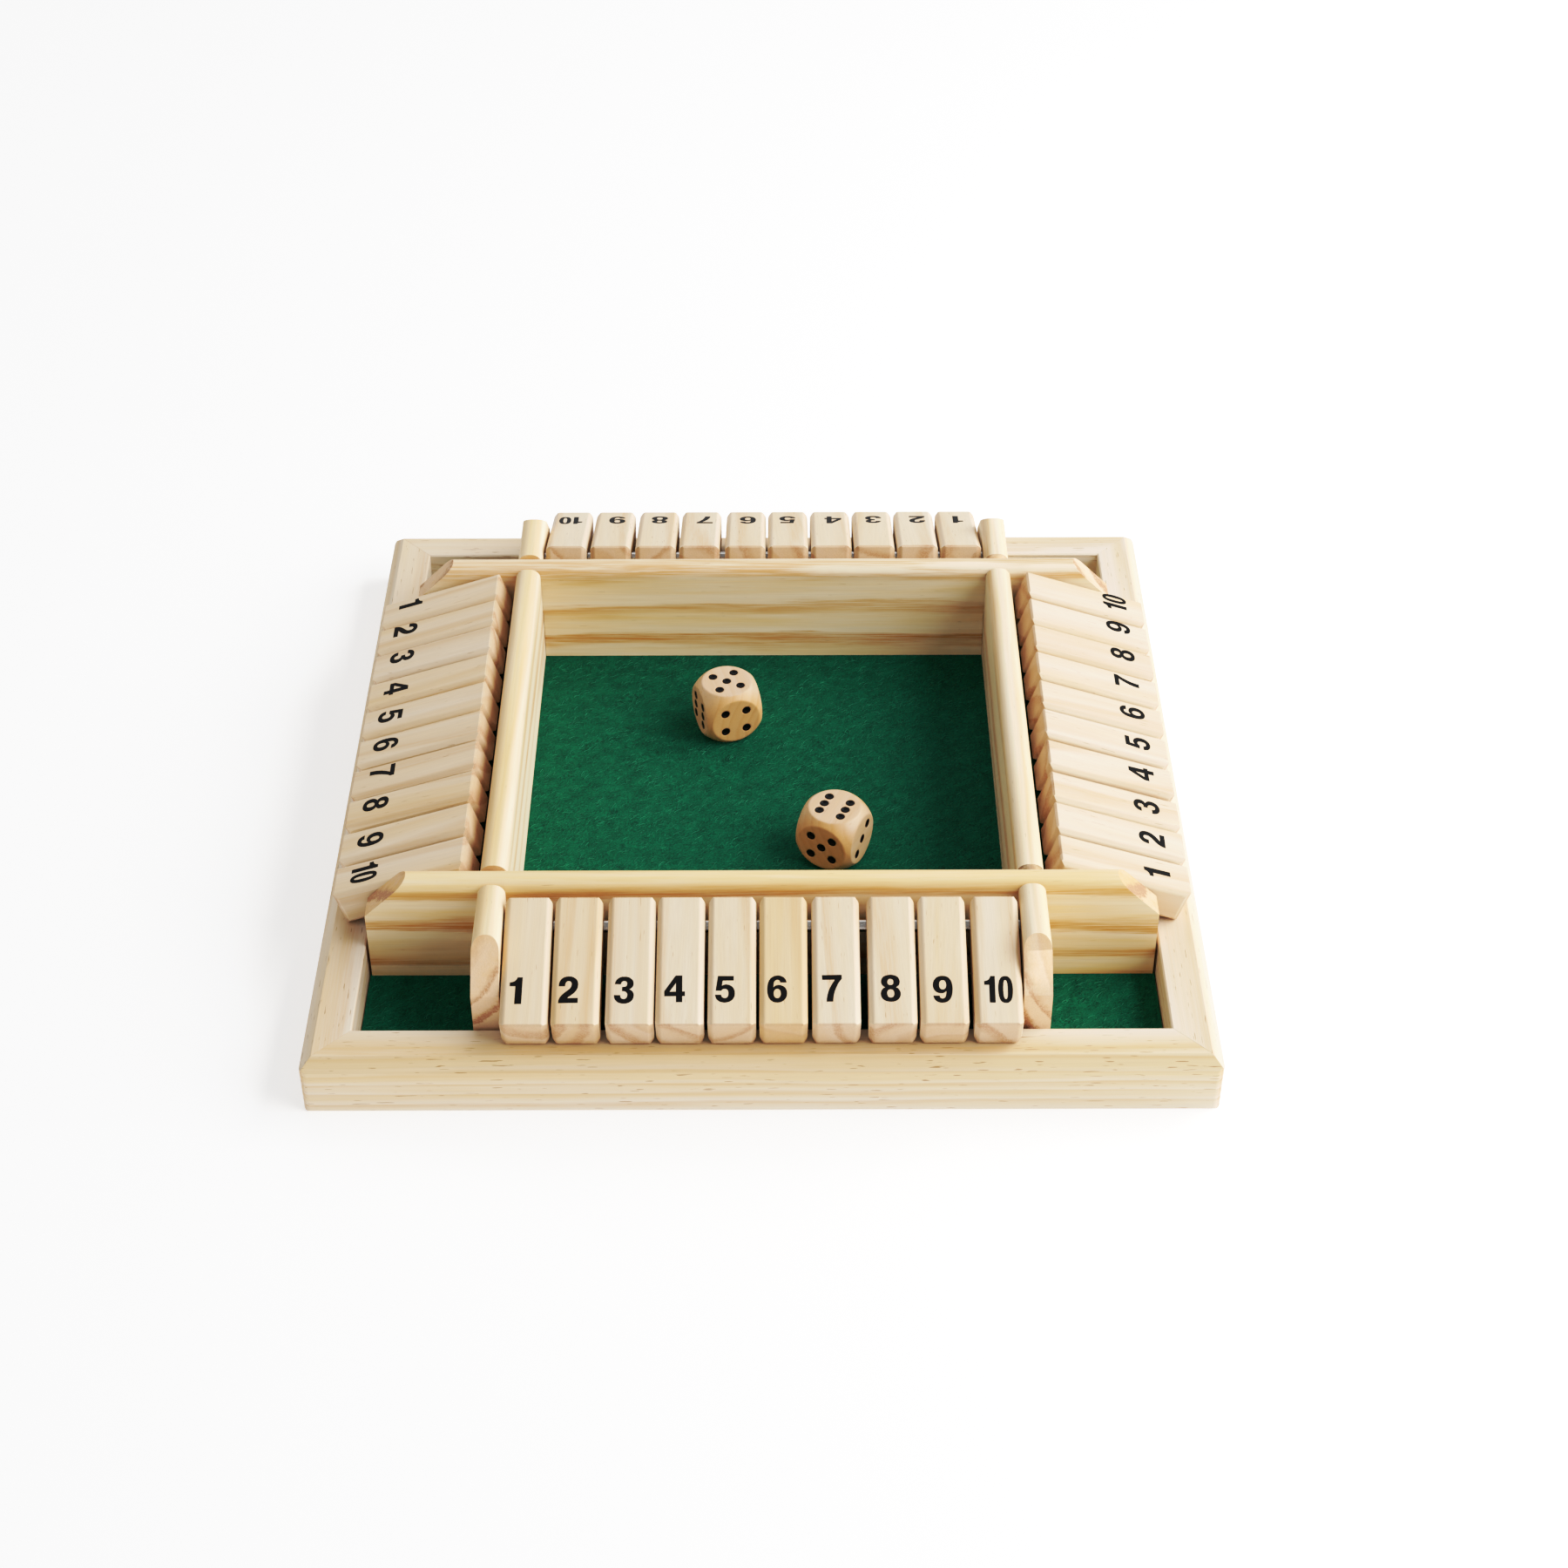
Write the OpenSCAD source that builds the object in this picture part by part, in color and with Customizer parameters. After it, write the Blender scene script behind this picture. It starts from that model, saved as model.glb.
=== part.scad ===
// Four-sided shut the box game in pine.
// A mitred frame holds a felt-covered floor. Four halved boards divide it into a dice tray,
// four troughs and four corner wells. Ten numbered tiles hinge on a steel rod in each trough.
// Lengths are millimetres. The origin is the middle of the footprint, at the table.
// +Z is up and the player at the front looks along +Y.

/* [Tiles] */
// Tiles in each row
tile_count = 10; // [9:1:12]
// Width of a tile, along its rod
tile_width = 11.5; // [10:0.1:13]
// Thickness of a tile
tile_thick = 10; // [8:0.1:11]
// Mean gap beside a tile, which sets the play of the whole row
tile_gap = 0.9; // [0.6:0.05:1.6]
// Least gap that a tile keeps on either side
tile_least_gap = 0.35; // [0.2:0.05:0.5]
// Chamfer along the four long edges of a tile
tile_chamfer = 1.2; // [0.5:0.1:2]
// Corners of a tile, cut off as seen from above
tile_corner = 1.2; // [0.5:0.1:2]
// Small chamfer along the top and bottom of its two ends
tile_end_ease = 0.5; // [0.2:0.1:1]
// Inner end of a tile to its rod
hinge_inset = 5.5; // [4:0.1:5.7]
// How far a resting tile lands on the rail
tile_landing = 4.9; // [2:0.1:7]
// Air between a resting tile and the rail
rest_gap = 0.2; // [0.1:0.05:0.4]

/* [Rods] */
// Diameter of a hinge rod
rod_d = 3; // [2:0.1:4]
// Radial clearance of a tile on its rod
rod_running_fit = 0.08; // [0.03:0.01:0.15]
// Depth that a rod enters a board at each end
rod_seat = 4; // [2:0.1:5]
// Radial clearance of a rod in its seat
rod_seat_fit = 0.04; // [0.02:0.01:0.1]
// Outer face of a board to the rod
rod_setback = 8; // [7.6:0.1:10]
// Top of a board down to the rod
rod_drop = 6.5; // [5:0.1:10]

/* [Divider boards] */
// Thickness of a board
divider_thick = 6.8; // [6:0.1:9]
// Height of a board above the felt
divider_height = 30.5; // [26:0.1:36]
// Radius along the top edges of a board
divider_round = 3; // [1:0.1:3.4]
// Leg of the 45 degree clip at each end of a board
divider_clip = 10.5; // [4:0.5:14]
// Air between the end of a board and the rail
divider_end_gap = 0.7; // [0.3:0.1:1.5]
// Clearance at each side of a halved joint
lap_fit = 0.1; // [0.05:0.05:0.3]

/* [Frame] */
// Width of a trough, from board to rail
trough_width = 29; // [27:0.5:34]
// Width of a rail
rail_width = 11.75; // [9:0.25:16]
// Height of a rail
rail_height = 16; // [13:0.5:20]
// Chamfer along the outer top edge of a rail
rail_chamfer = 3; // [1:0.1:4]
// Small chamfer along the other edges of a rail
rail_ease = 0.4; // [0.2:0.1:0.8]
// Radius of the four upright corners
corner_round = 2; // [1:0.5:5]
// Depth of the groove that holds the floor
groove_depth = 4; // [2:0.1:5]
// Air round the floor panel in its groove
groove_fit = 0.2; // [0.1:0.05:0.4]

/* [Floor] */
// Table to the underside of the panel
panel_lift = 2; // [1:0.5:4]
// Thickness of the floor panel
panel_thick = 3; // [2:0.1:4]
// Thickness of the felt
felt_thick = 1; // [0.6:0.1:1.5]
// Air between the felt and the rails
felt_trim = 0.3; // [0.1:0.1:1]

/* [Floor pins] */
// Diameter of a pin that holds a board down
pin_d = 1.6; // [1:0.1:2]
// Diameter of its head
pin_head_d = 3; // [2.4:0.1:4]
// Thickness of its head
pin_head_thick = 0.6; // [0.4:0.1:1]
// Length of a pin under its head
pin_length = 18; // [12:1:20]
// Middle of a board to each of its two pins
pin_spread = 35; // [20:1:50]
// Clearance round a pin
pin_fit = 0.04; // [0.02:0.01:0.1]

/* [Dice] */
// Edge of a die
die_size = 16; // [12:0.5:18]
// Diameter of the flat left on each face by the rounding
die_flat = 13.6; // [12:0.1:14.5]
// Diameter of a pip
pip_d = 2.3; // [1.5:0.1:2.6]
// Depth of a pip
pip_depth = 0.5; // [0.3:0.1:0.8]
// Middle of a face to its outer rows of pips
pip_pitch = 3; // [2.6:0.1:3.4]
// Air between a die and the felt
die_gap = 0.2; // [0.1:0.05:0.3]
// Far die, to the right of the middle of the tray
far_die_x = -10; // [-20:0.1:0]
// Far die, behind the middle of the tray
far_die_y = 29.6; // [15:0.1:40]
// Far die, turned anticlockwise
far_die_turn = 19; // [-45:0.5:45]
// Near die, to the right of the middle of the tray
near_die_x = 18.7; // [0:0.1:30]
// Near die, behind the middle of the tray
near_die_y = -23.5; // [-40:0.1:-15]
// Near die, turned anticlockwise
near_die_turn = -26.5; // [-45:0.5:45]

/* [Hidden] */
$fn = 64;

// Sides of the game, counted anticlockwise from above
SIDES = ["front", "right", "rear", "left"];
function tile_name(side, n) = str("tile_", side, n < 10 ? "_0" : "_", n);

// Half widths from the middle of the game out to each face
tray_half = (tile_count * tile_width + (tile_count + 1) * tile_gap) / 2;
divider_mid = tray_half + divider_thick / 2;
divider_outer = tray_half + divider_thick;
rail_inner = divider_outer + trough_width;
frame_half = rail_inner + rail_width;
divider_half = rail_inner - divider_end_gap;

// Heights above the table
panel_top = panel_lift + panel_thick;
felt_top = panel_top + felt_thick;
divider_top = felt_top + divider_height;
lap_seat = felt_top + divider_height / 2;

// Rods and resting tiles. A tile lies on the inner part of the rail, so its lower outer edge
// is known, and its length and tilt follow from where its rod is.
rod_u = divider_outer + rod_setback;
rod_z = divider_top - rod_drop;
rest_run = rail_inner + tile_landing - rod_u;
rest_fall = rod_z - rail_height - rest_gap;
rest_reach = sqrt(rest_run ^ 2 + rest_fall ^ 2 - (tile_thick / 2) ^ 2);
tile_outer = rest_reach + tile_end_ease;
tile_length = tile_outer + hinge_inset;
rest_tilt = atan2(rest_fall, rest_run) - atan2(tile_thick / 2, rest_reach);
rod_end_play = 0.2;

// Loose tiles drift along their rods. For each side, these are the shares of the spare play that
// lie before, between and after its ten tiles.
play_shares = [
    [1, 3, 10, 0, 5, 4, 7, 15, 4, 10, 2],
    [5, 7, 3, 11, 10, 5, 7, 3, 2, 7, 3],
    [3, 4, 4, 4, 4, 3, 12, 6, 9, 7, 4],
    [7, 3, 2, 7, 3, 5, 7, 3, 11, 10, 5]];
spare_play = (tile_count + 1) * (tile_gap - tile_least_gap);
function total(list, last) = last < 0 ? 0 : list[last] + total(list, last - 1);
function row_shares(k) = [for (i = [0:tile_count]) play_shares[k][i % len(play_shares[k])]];
function tile_x(k, n) =
    let (shares = row_shares(k), part = total(shares, n - 1) / total(shares, tile_count))
    -tray_half + n * tile_least_gap + part * spare_play + (n - 0.5) * tile_width;

// Pips of a face, in steps of the pip pitch
PIPS = [
    [[0, 0]],
    [[-1, -1], [1, 1]],
    [[-1, -1], [0, 0], [1, 1]],
    [[-1, -1], [-1, 1], [1, -1], [1, 1]],
    [[-1, -1], [-1, 1], [0, 0], [1, -1], [1, 1]],
    [[-1, -1], [-1, 0], [-1, 1], [1, -1], [1, 0], [1, 1]]];
// Directions of the top, front, right, rear, left and under faces of a die
FACES = [[0, 0, 0], [90, 0, 0], [0, 90, 0], [-90, 0, 0], [0, -90, 0], [180, 0, 0]];
// Count and quarter turns of the pips on those faces, for each die
far_die_faces = [[5, 0], [4, 0], [1, 0], [3, 0], [6, 1], [2, 0]];
near_die_faces = [[6, 0], [5, 0], [3, 1], [2, 0], [4, 0], [1, 0]];
die_ball_r = sqrt((die_size / 2) ^ 2 + (die_flat / 2) ^ 2);
pip_ball_r = ((pip_d / 2) ^ 2 + pip_depth ^ 2) / (2 * pip_depth);

// Play past a face, so that a cut goes clean through it
cut = 1;

// Outline of a w by h oblong with its corners cut off at 45 degrees. The cuts go round from the
// lower left, and a cut of 0 leaves a square corner.
function corner(p, a, b, c) = c > 0 ? [p + c * a, p + c * b] : [p];
function cut_outline(w, h, cuts) = concat(
    corner([0, 0], [0, 1], [1, 0], cuts[0]),
    corner([w, 0], [-1, 0], [0, 1], cuts[1]),
    corner([w, h], [0, -1], [-1, 0], cuts[2]),
    corner([0, h], [1, 0], [0, -1], cuts[3]));

// A piece of the front, turned round to another side
module on_side(k) {
    rotate([0, 0, 90 * k]) children();
}

// An outline drawn across and up, swept along X and centred
module sweep_x(length) {
    translate([-length / 2, 0, 0]) rotate([90, 0, 90]) linear_extrude(length) children();
}

// An outline drawn along X and up, swept along Y and centred
module sweep_y(length) {
    translate([0, length / 2, 0]) rotate([90, 0, 0]) linear_extrude(length) children();
}

// Plan of the whole game, with its rounded corners
module frame_plan() {
    for (w = [0, 1]) {
        square(2 * [frame_half - w * corner_round, frame_half - (1 - w) * corner_round], center = true);
    }
    for (x = [-1, 1], y = [-1, 1]) {
        translate([x, y] * (frame_half - corner_round)) circle(corner_round);
    }
}

// One rail: its section swept along, cut to a mitre at each end
module rail(k) {
    section = cut_outline(rail_width, rail_height, [rail_ease, rail_ease, rail_ease, rail_chamfer]);
    mitre = [[-frame_half, -frame_half], [frame_half, -frame_half],
        [rail_inner, -rail_inner], [-rail_inner, -rail_inner]];
    color("#E8D3AC") on_side(k) difference() {
        intersection() {
            sweep_x(2 * frame_half) translate([-frame_half, 0]) polygon(section);
            linear_extrude(rail_height) polygon(mitre);
            linear_extrude(rail_height) frame_plan();
        }
        translate([-frame_half, -rail_inner - groove_depth, panel_lift])
            cube([2 * frame_half, groove_depth + cut, panel_thick + groove_fit]);
    }
}

// Places of the pins under one board
module at_pins() {
    for (x = [-1, 1]) {
        translate([x * pin_spread, -divider_mid, 0]) children();
    }
}

// Shank of a pin with a given clearance, from the table up
module pin_shank(fit) {
    cylinder(r = pin_d / 2 + fit, h = panel_lift + pin_head_thick + pin_length + fit);
}

// Floor panel, slid into the grooves, with a sunk hole for each pin
module base_panel() {
    half = rail_inner + groove_depth - groove_fit;
    color("#C9A877") difference() {
        translate([-half, -half, panel_lift]) cube([2 * half, 2 * half, panel_thick]);
        for (k = [0:3]) on_side(k) at_pins() {
            pin_shank(pin_fit);
            cylinder(r = pin_head_d / 2 + pin_fit, h = panel_lift + pin_head_thick);
        }
    }
}

// Felt over the whole floor, under the boards
module felt() {
    half = rail_inner - felt_trim;
    color("#0F5A3A") difference() {
        translate([-half, -half, panel_top]) cube([2 * half, 2 * half, felt_thick]);
        for (k = [0:3]) on_side(k) at_pins() pin_shank(pin_fit);
    }
}

// Steel pins driven up through the floor into the boards
module floor_pins() {
    color("silver") for (k = [0:3]) on_side(k) at_pins() {
        translate([0, 0, panel_lift]) cylinder(d = pin_head_d, h = pin_head_thick);
        translate([0, 0, panel_lift]) cylinder(d = pin_d, h = pin_head_thick + pin_length);
    }
}

// Section of a board, rounded along its top edges
module divider_section() {
    translate([-divider_thick / 2, 0]) square([divider_thick, divider_height - divider_round]);
    translate([-divider_thick / 2 + divider_round, 0])
        square([divider_thick - 2 * divider_round, divider_height]);
    for (y = [-1, 1]) {
        translate([y * (divider_thick / 2 - divider_round), divider_height - divider_round])
            circle(divider_round);
    }
}

// Notches where two boards halve into this one, from below or from above
module lap_notches(from_below) {
    width = divider_thick + 2 * lap_fit;
    low = from_below ? felt_top - cut : lap_seat;
    high = from_below ? lap_seat : divider_top + cut;
    for (x = [-1, 1]) {
        translate([x * divider_mid - width / 2, -divider_outer - cut, low])
            cube([width, divider_thick + 2 * cut, high - low]);
    }
}

// Blind holes for the ends of the rods that run in from the two sides
module rod_seats() {
    for (x = [-1, 1]) {
        translate([x * rod_u, -tray_half + cut, rod_z]) rotate([90, 0, 0])
            cylinder(r = rod_d / 2 + rod_seat_fit, h = rod_seat + rod_end_play + cut);
    }
}

// One board. The front and rear boards sit over the other two where they cross.
module divider(k) {
    side_view = cut_outline(2 * divider_half, divider_height, [0, 0, divider_clip, divider_clip]);
    color("#E3C98C") on_side(k) difference() {
        translate([0, -divider_mid, felt_top]) intersection() {
            sweep_x(2 * divider_half) divider_section();
            sweep_y(divider_thick) translate([-divider_half, 0]) polygon(side_view);
        }
        lap_notches(k % 2 == 0);
        rod_seats();
        at_pins() pin_shank(pin_fit);
    }
}

// Steel rod that a row of tiles hinges on
module rod(k) {
    color("silver") on_side(k) translate([0, -rod_u, rod_z]) rotate([0, 90, 0])
        cylinder(d = rod_d, h = 2 * (tray_half + rod_seat), center = true);
}

// One tile lying level, with its rod at the origin and its numbered end towards -Y
module tile_blank() {
    difference() {
        translate([0, -tile_outer, -tile_thick / 2]) intersection() {
            translate([0, tile_length / 2, 0]) sweep_y(tile_length) translate([-tile_width / 2, 0])
                polygon(cut_outline(tile_width, tile_thick, [for (i = [0:3]) tile_chamfer]));
            sweep_x(tile_width)
                polygon(cut_outline(tile_length, tile_thick, [for (i = [0:3]) tile_end_ease]));
            linear_extrude(tile_thick) translate([-tile_width / 2, 0])
                polygon(cut_outline(tile_width, tile_length, [for (i = [0:3]) tile_corner]));
        }
        rotate([0, 90, 0])
            cylinder(r = rod_d / 2 + rod_running_fit, h = tile_width + 2 * cut, center = true);
    }
}

// Tile n of side k, tipped outwards so that it rests on the rail
module tile(k, n) {
    color("#EBD9BC") on_side(k) translate([tile_x(k, n), -rod_u, rod_z])
        rotate([rest_tilt, 0, 0]) tile_blank();
}

// Hollows for the pips of one die, which is centred on the origin
module pip_hollows(faces) {
    for (i = [0:5]) {
        rotate(FACES[i]) rotate([0, 0, 90 * faces[i][1]]) for (p = PIPS[faces[i][0] - 1]) {
            translate([p[0] * pip_pitch, p[1] * pip_pitch, die_size / 2 + pip_ball_r - pip_depth])
                sphere(pip_ball_r);
        }
    }
}

// One die: a cube with its corners and edges rounded off by a ball
module die(x, y, turn, faces) {
    color("#D9B68A") translate([x, y, felt_top + die_gap + die_size / 2]) rotate([0, 0, turn])
        difference() {
            intersection() {
                cube(die_size, center = true);
                sphere(die_ball_r);
            }
            pip_hollows(faces);
        }
}

module die_far() {
    die(far_die_x, far_die_y, far_die_turn, far_die_faces);
}

module die_near() {
    die(near_die_x, near_die_y, near_die_turn, near_die_faces);
}

base_panel();
felt();
floor_pins();
for (k = [0:3]) rail(k);
for (k = [0:3]) divider(k);
for (k = [0:3]) rod(k);
for (k = [0:3], n = [1:tile_count]) tile(k, n);
die_far();
die_near();
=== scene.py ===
"""Looks of a four-sided shut the box game in pine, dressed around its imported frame.

Fields are in millimetres and degrees unless they say otherwise. Meshes are in metres, in the axes of
the frame: +Z is up, and the player at the front looks along +Y.
"""
import logging
import math
import random
from dataclasses import dataclass
from enum import Enum
from functools import cached_property

import bmesh
import bpy
import numpy as np
from mathutils import Matrix, Vector, noise
from mathutils.geometry import tessellate_polygon


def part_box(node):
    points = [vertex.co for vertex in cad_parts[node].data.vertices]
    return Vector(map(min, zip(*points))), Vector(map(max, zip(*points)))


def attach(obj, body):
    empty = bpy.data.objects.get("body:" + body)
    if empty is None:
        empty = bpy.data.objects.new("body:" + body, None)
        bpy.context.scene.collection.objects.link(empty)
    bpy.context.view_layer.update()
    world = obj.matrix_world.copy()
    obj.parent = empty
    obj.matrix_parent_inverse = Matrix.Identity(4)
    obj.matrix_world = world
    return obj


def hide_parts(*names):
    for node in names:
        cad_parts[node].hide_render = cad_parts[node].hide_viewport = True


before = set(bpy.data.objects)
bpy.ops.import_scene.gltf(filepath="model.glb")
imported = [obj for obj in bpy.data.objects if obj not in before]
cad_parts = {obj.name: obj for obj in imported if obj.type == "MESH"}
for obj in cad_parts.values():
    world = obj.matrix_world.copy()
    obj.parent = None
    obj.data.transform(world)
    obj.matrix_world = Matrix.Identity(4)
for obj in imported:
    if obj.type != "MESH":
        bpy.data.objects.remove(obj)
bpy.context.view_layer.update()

MM = 0.001
TRAY_BODY = "tray"
UP = Vector((0, 0, 1))

# How close is one point, what counts as sharp or long, and the facets of small round things.
WELD = 0.001 * MM
SLIVER = 0.004 * MM
SAME_PLANE = math.radians(0.5)
SHARP = math.radians(25)
CHAMFER = math.radians(60)
LONG_EDGE = 4 * MM
ROOM_BESIDE = 1.3 * MM
PIP_SIDES = 28
PIP_RINGS = 4
FIBRE_SIDES = 3
FIBRE_STEPS = 2
COMBINED_CURVE = 3

Colour = tuple[float, float, float, float]
Pitch = tuple[float, float, float]
Spot = tuple[float, float]
Outline = list[tuple[float, ...]]

log = logging.getLogger("shut_the_box")


class Side(Enum):
    """The four sides of the game, counted anticlockwise from above, with their quarter turns."""

    FRONT = 0
    RIGHT = 1
    REAR = 2
    LEFT = 3

    @property
    def word(self) -> str:
        """The side's name as the frame's nodes spell it."""
        return self.name.lower()


class Wire:
    """A node's output that takes part in Python arithmetic, where each step adds a Math node."""

    def __init__(self, bench: "Bench", socket: bpy.types.NodeSocket) -> None:
        """Keeps the output that this wire starts from, and the bench where its sums are made."""
        self.bench = bench
        self.socket = socket

    def __add__(self, other: "Wire | float") -> "Wire":
        """This plus another."""
        return self.bench.maths("ADD", self, other)

    __radd__ = __add__

    def __sub__(self, other: "Wire | float") -> "Wire":
        """This less another."""
        return self.bench.maths("SUBTRACT", self, other)

    def __rsub__(self, other: "Wire | float") -> "Wire":
        """A number less this."""
        return self.bench.maths("SUBTRACT", other, self)

    def __mul__(self, other: "Wire | float") -> "Wire":
        """This times another."""
        return self.bench.maths("MULTIPLY", self, other)

    __rmul__ = __mul__

    def __truediv__(self, other: "Wire | float") -> "Wire":
        """This over another."""
        return self.bench.maths("DIVIDE", self, other)

    def __rtruediv__(self, other: "Wire | float") -> "Wire":
        """A number over this."""
        return self.bench.maths("DIVIDE", other, self)


class Bench:
    """Adds nodes to one tree."""

    def __init__(self, tree: bpy.types.NodeTree) -> None:
        """Takes the shader or geometry tree to work on."""
        self.tree = tree

    def node(self, kind: str, settings: dict | None = None, sockets: dict | None = None,
             out: int | str = 0) -> Wire:
        """Adds a node, settings first.

        Args:
            kind: The node's type.
            settings: Its properties by name.
            sockets: Values or wires for its inputs, by name or number.
            out: The output to carry on from.

        Returns:
            The chosen output.
        """
        made = self.tree.nodes.new(kind)
        for name, value in (settings or {}).items():
            setattr(made, name, value)
        for name, value in (sockets or {}).items():
            self.feed(made.inputs[name], value)
        return Wire(self, made.outputs[out])

    def feed(self, socket: bpy.types.NodeSocket, value: object) -> None:
        """Links a wire to an input, or sets the input's own value.

        Args:
            socket: The input.
            value: A wire, or a value that suits the input.
        """
        if isinstance(value, Wire):
            self.tree.links.new(value.socket, socket)
        else:
            socket.default_value = value

    def maths(self, operation: str, *values: "Wire | float") -> Wire:
        """The result of a Math node on some numbers."""
        return self.node("ShaderNodeMath", {"operation": operation}, dict(enumerate(values)))

    def vectors(self, operation: str, *values: "Wire | tuple") -> Wire:
        """The result of a Vector Math node on some points or colours."""
        return self.node("ShaderNodeVectorMath", {"operation": operation}, dict(enumerate(values)))

    def step(self, value: Wire, low: float, high: float) -> Wire:
        """A smooth step from 0, where a value is at the low mark, to 1 at the high mark."""
        return self.node("ShaderNodeMapRange", {"interpolation_type": "SMOOTHSTEP"},
                         {0: value, 1: low, 2: high})

    def cloud(self, place: Wire, pitch: Pitch, detail: float = 2.0, roughness: float = 0.5) -> Wire:
        """Noise with its own pitch along each axis.

        Args:
            place: The point that is looked up.
            pitch: Bumps per unit along x, y and z.
            detail: Octaves of finer noise.
            roughness: How much they weigh.

        Returns:
            A number from 0 to 1.
        """
        return self.node("ShaderNodeTexNoise", None,
                         {"Vector": self.vectors("MULTIPLY", place, pitch), "Scale": 1.0,
                          "Detail": detail, "Roughness": roughness})

    def mix(self, share: "Wire | float", first: "Wire | Colour", second: "Wire | Colour",
            blend: str = "MIX") -> Wire:
        """Two colours in one, with a share of the second, as the blend says."""
        return self.node("ShaderNodeMix", {"data_type": "RGBA", "blend_type": blend},
                         {0: share, 6: first, 7: second}, out=2)

    def parts(self, point: Wire) -> list[Wire]:
        """The x, y and z of a point."""
        return [self.node("ShaderNodeSeparateXYZ", None, {0: point}, way) for way in "XYZ"]

    def point(self, x: "Wire | float", y: "Wire | float", z: "Wire | float") -> Wire:
        """A point from its x, y and z."""
        return self.node("ShaderNodeCombineXYZ", None, {0: x, 1: y, 2: z})

    def grey(self, value: Wire) -> Wire:
        """The same value in all three channels of a colour."""
        return self.point(value, value, value)


class Sheet(Bench):
    """One material, with a Principled shader to finish."""

    def __init__(self, name: str) -> None:
        """Starts a material.

        Args:
            name: The material's name.
        """
        self.material = bpy.data.materials.new(name)
        self.material.use_nodes = True
        super().__init__(self.material.node_tree)
        self.tree.nodes.clear()
        self.shader = self.tree.nodes.new("ShaderNodeBsdfPrincipled")
        output = self.tree.nodes.new("ShaderNodeOutputMaterial")
        self.tree.links.new(self.shader.outputs[0], output.inputs["Surface"])

    def attribute(self, name: str, out: str = "Fac") -> Wire:
        """A value that the mesh carries: "Fac" gives a number and "Vector" a point."""
        return self.node("ShaderNodeAttribute", {"attribute_name": name}, None, out)

    def place(self) -> Wire:
        """The point on the object, in millimetres of the frame."""
        point = self.node("ShaderNodeTexCoord", None, None, "Object")
        return self.vectors("MULTIPLY", point, (1 / MM, 1 / MM, 1 / MM))

    def bump(self, height: Wire, depth: float) -> Wire:
        """The normal of a relief from 0 to 1, with its depth in millimetres."""
        return self.node("ShaderNodeBump", None, {"Distance": depth * MM, "Height": height})

    def finish(self, **inputs: object) -> bpy.types.Material:
        """Sets or links the shader's inputs.

        Args:
            inputs: Values or wires by the input's name, with _ for a space.

        Returns:
            The finished material.
        """
        for name, value in inputs.items():
            self.feed(self.shader.inputs[name.replace("_", " ")], value)
        return self.material


class Recipe(Bench):
    """One Geometry Nodes tree with named inputs, which ends in realized, dressed geometry."""

    def __init__(self, name: str) -> None:
        """Starts a tree with a geometry input and output.

        Args:
            name: The tree's name.
        """
        super().__init__(bpy.data.node_groups.new(name, "GeometryNodeTree"))
        self.tree.is_modifier = True
        self.keys: dict[str, str] = {}
        self._entry("Geometry", "NodeSocketGeometry")
        self.tree.interface.new_socket("Geometry", in_out="OUTPUT",
                                       socket_type="NodeSocketGeometry")
        self.leave = self.tree.nodes.new("NodeGroupOutput")

    def _entry(self, name: str, kind: str) -> None:
        """Adds a named input and keeps its identifier."""
        made = self.tree.interface.new_socket(name, in_out="INPUT", socket_type=kind)
        self.keys[name] = made.identifier

    def entries(self, **kinds: str) -> dict[str, Wire]:
        """Adds all named inputs.

        Args:
            kinds: Socket types by the input's name.

        Returns:
            The inputs as wires, with the geometry among them.
        """
        for name, kind in kinds.items():
            self._entry(name, kind)
        enter = self.tree.nodes.new("NodeGroupInput")
        return {name: Wire(self, enter.outputs[name]) for name in self.keys}

    def serve(self, geometry: Wire, material: Wire) -> None:
        """Ends the tree.

        Args:
            geometry: What was made, as instances or not.
            material: The material that it gets.
        """
        real = self.node("GeometryNodeRealizeInstances", None, {0: geometry})
        dressed = self.node("GeometryNodeSetMaterial", None, {0: real, "Material": material})
        self.feed(self.leave.inputs[0], dressed)

    def cook(self, host: bpy.types.Object, **values: object) -> bpy.types.Object:
        """Runs the tree on an object and keeps its result as the object's plain mesh.

        Args:
            host: The object whose mesh goes in.
            values: Values of the named inputs.

        Returns:
            The same object.
        """
        modifier = host.modifiers.new("recipe", "NODES")
        modifier.node_group = self.tree
        for name, value in values.items():
            modifier[self.keys[name]] = value
        return settled(host)


def settled(host: bpy.types.Object) -> bpy.types.Object:
    """Turns an object's modifiers into its plain mesh.

    Args:
        host: The object, with modifiers.

    Returns:
        The same object, without them.
    """
    bpy.context.view_layer.update()
    evaluated = host.evaluated_get(bpy.context.evaluated_depsgraph_get())
    mesh = bpy.data.meshes.new_from_object(evaluated)
    host.modifiers.clear()
    host.data = mesh
    return host


def new_object(name: str, mesh: bpy.types.Mesh) -> bpy.types.Object:
    """Links a mesh to the scene as an object at the origin.

    Args:
        name: The object's name.
        mesh: Its mesh.

    Returns:
        The object.
    """
    made = bpy.data.objects.new(name, mesh)
    bpy.context.scene.collection.objects.link(made)
    return made


def new_mesh(name: str, points: np.ndarray, faces: list) -> bpy.types.Mesh:
    """A mesh from points in metres.

    Args:
        name: The mesh's name.
        points: One row a vertex.
        faces: The vertices of each face, anticlockwise from outside.

    Returns:
        The mesh.
    """
    mesh = bpy.data.meshes.new(name)
    mesh.from_pydata([tuple(p) for p in points], [], faces)
    mesh.update()
    return mesh


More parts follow.
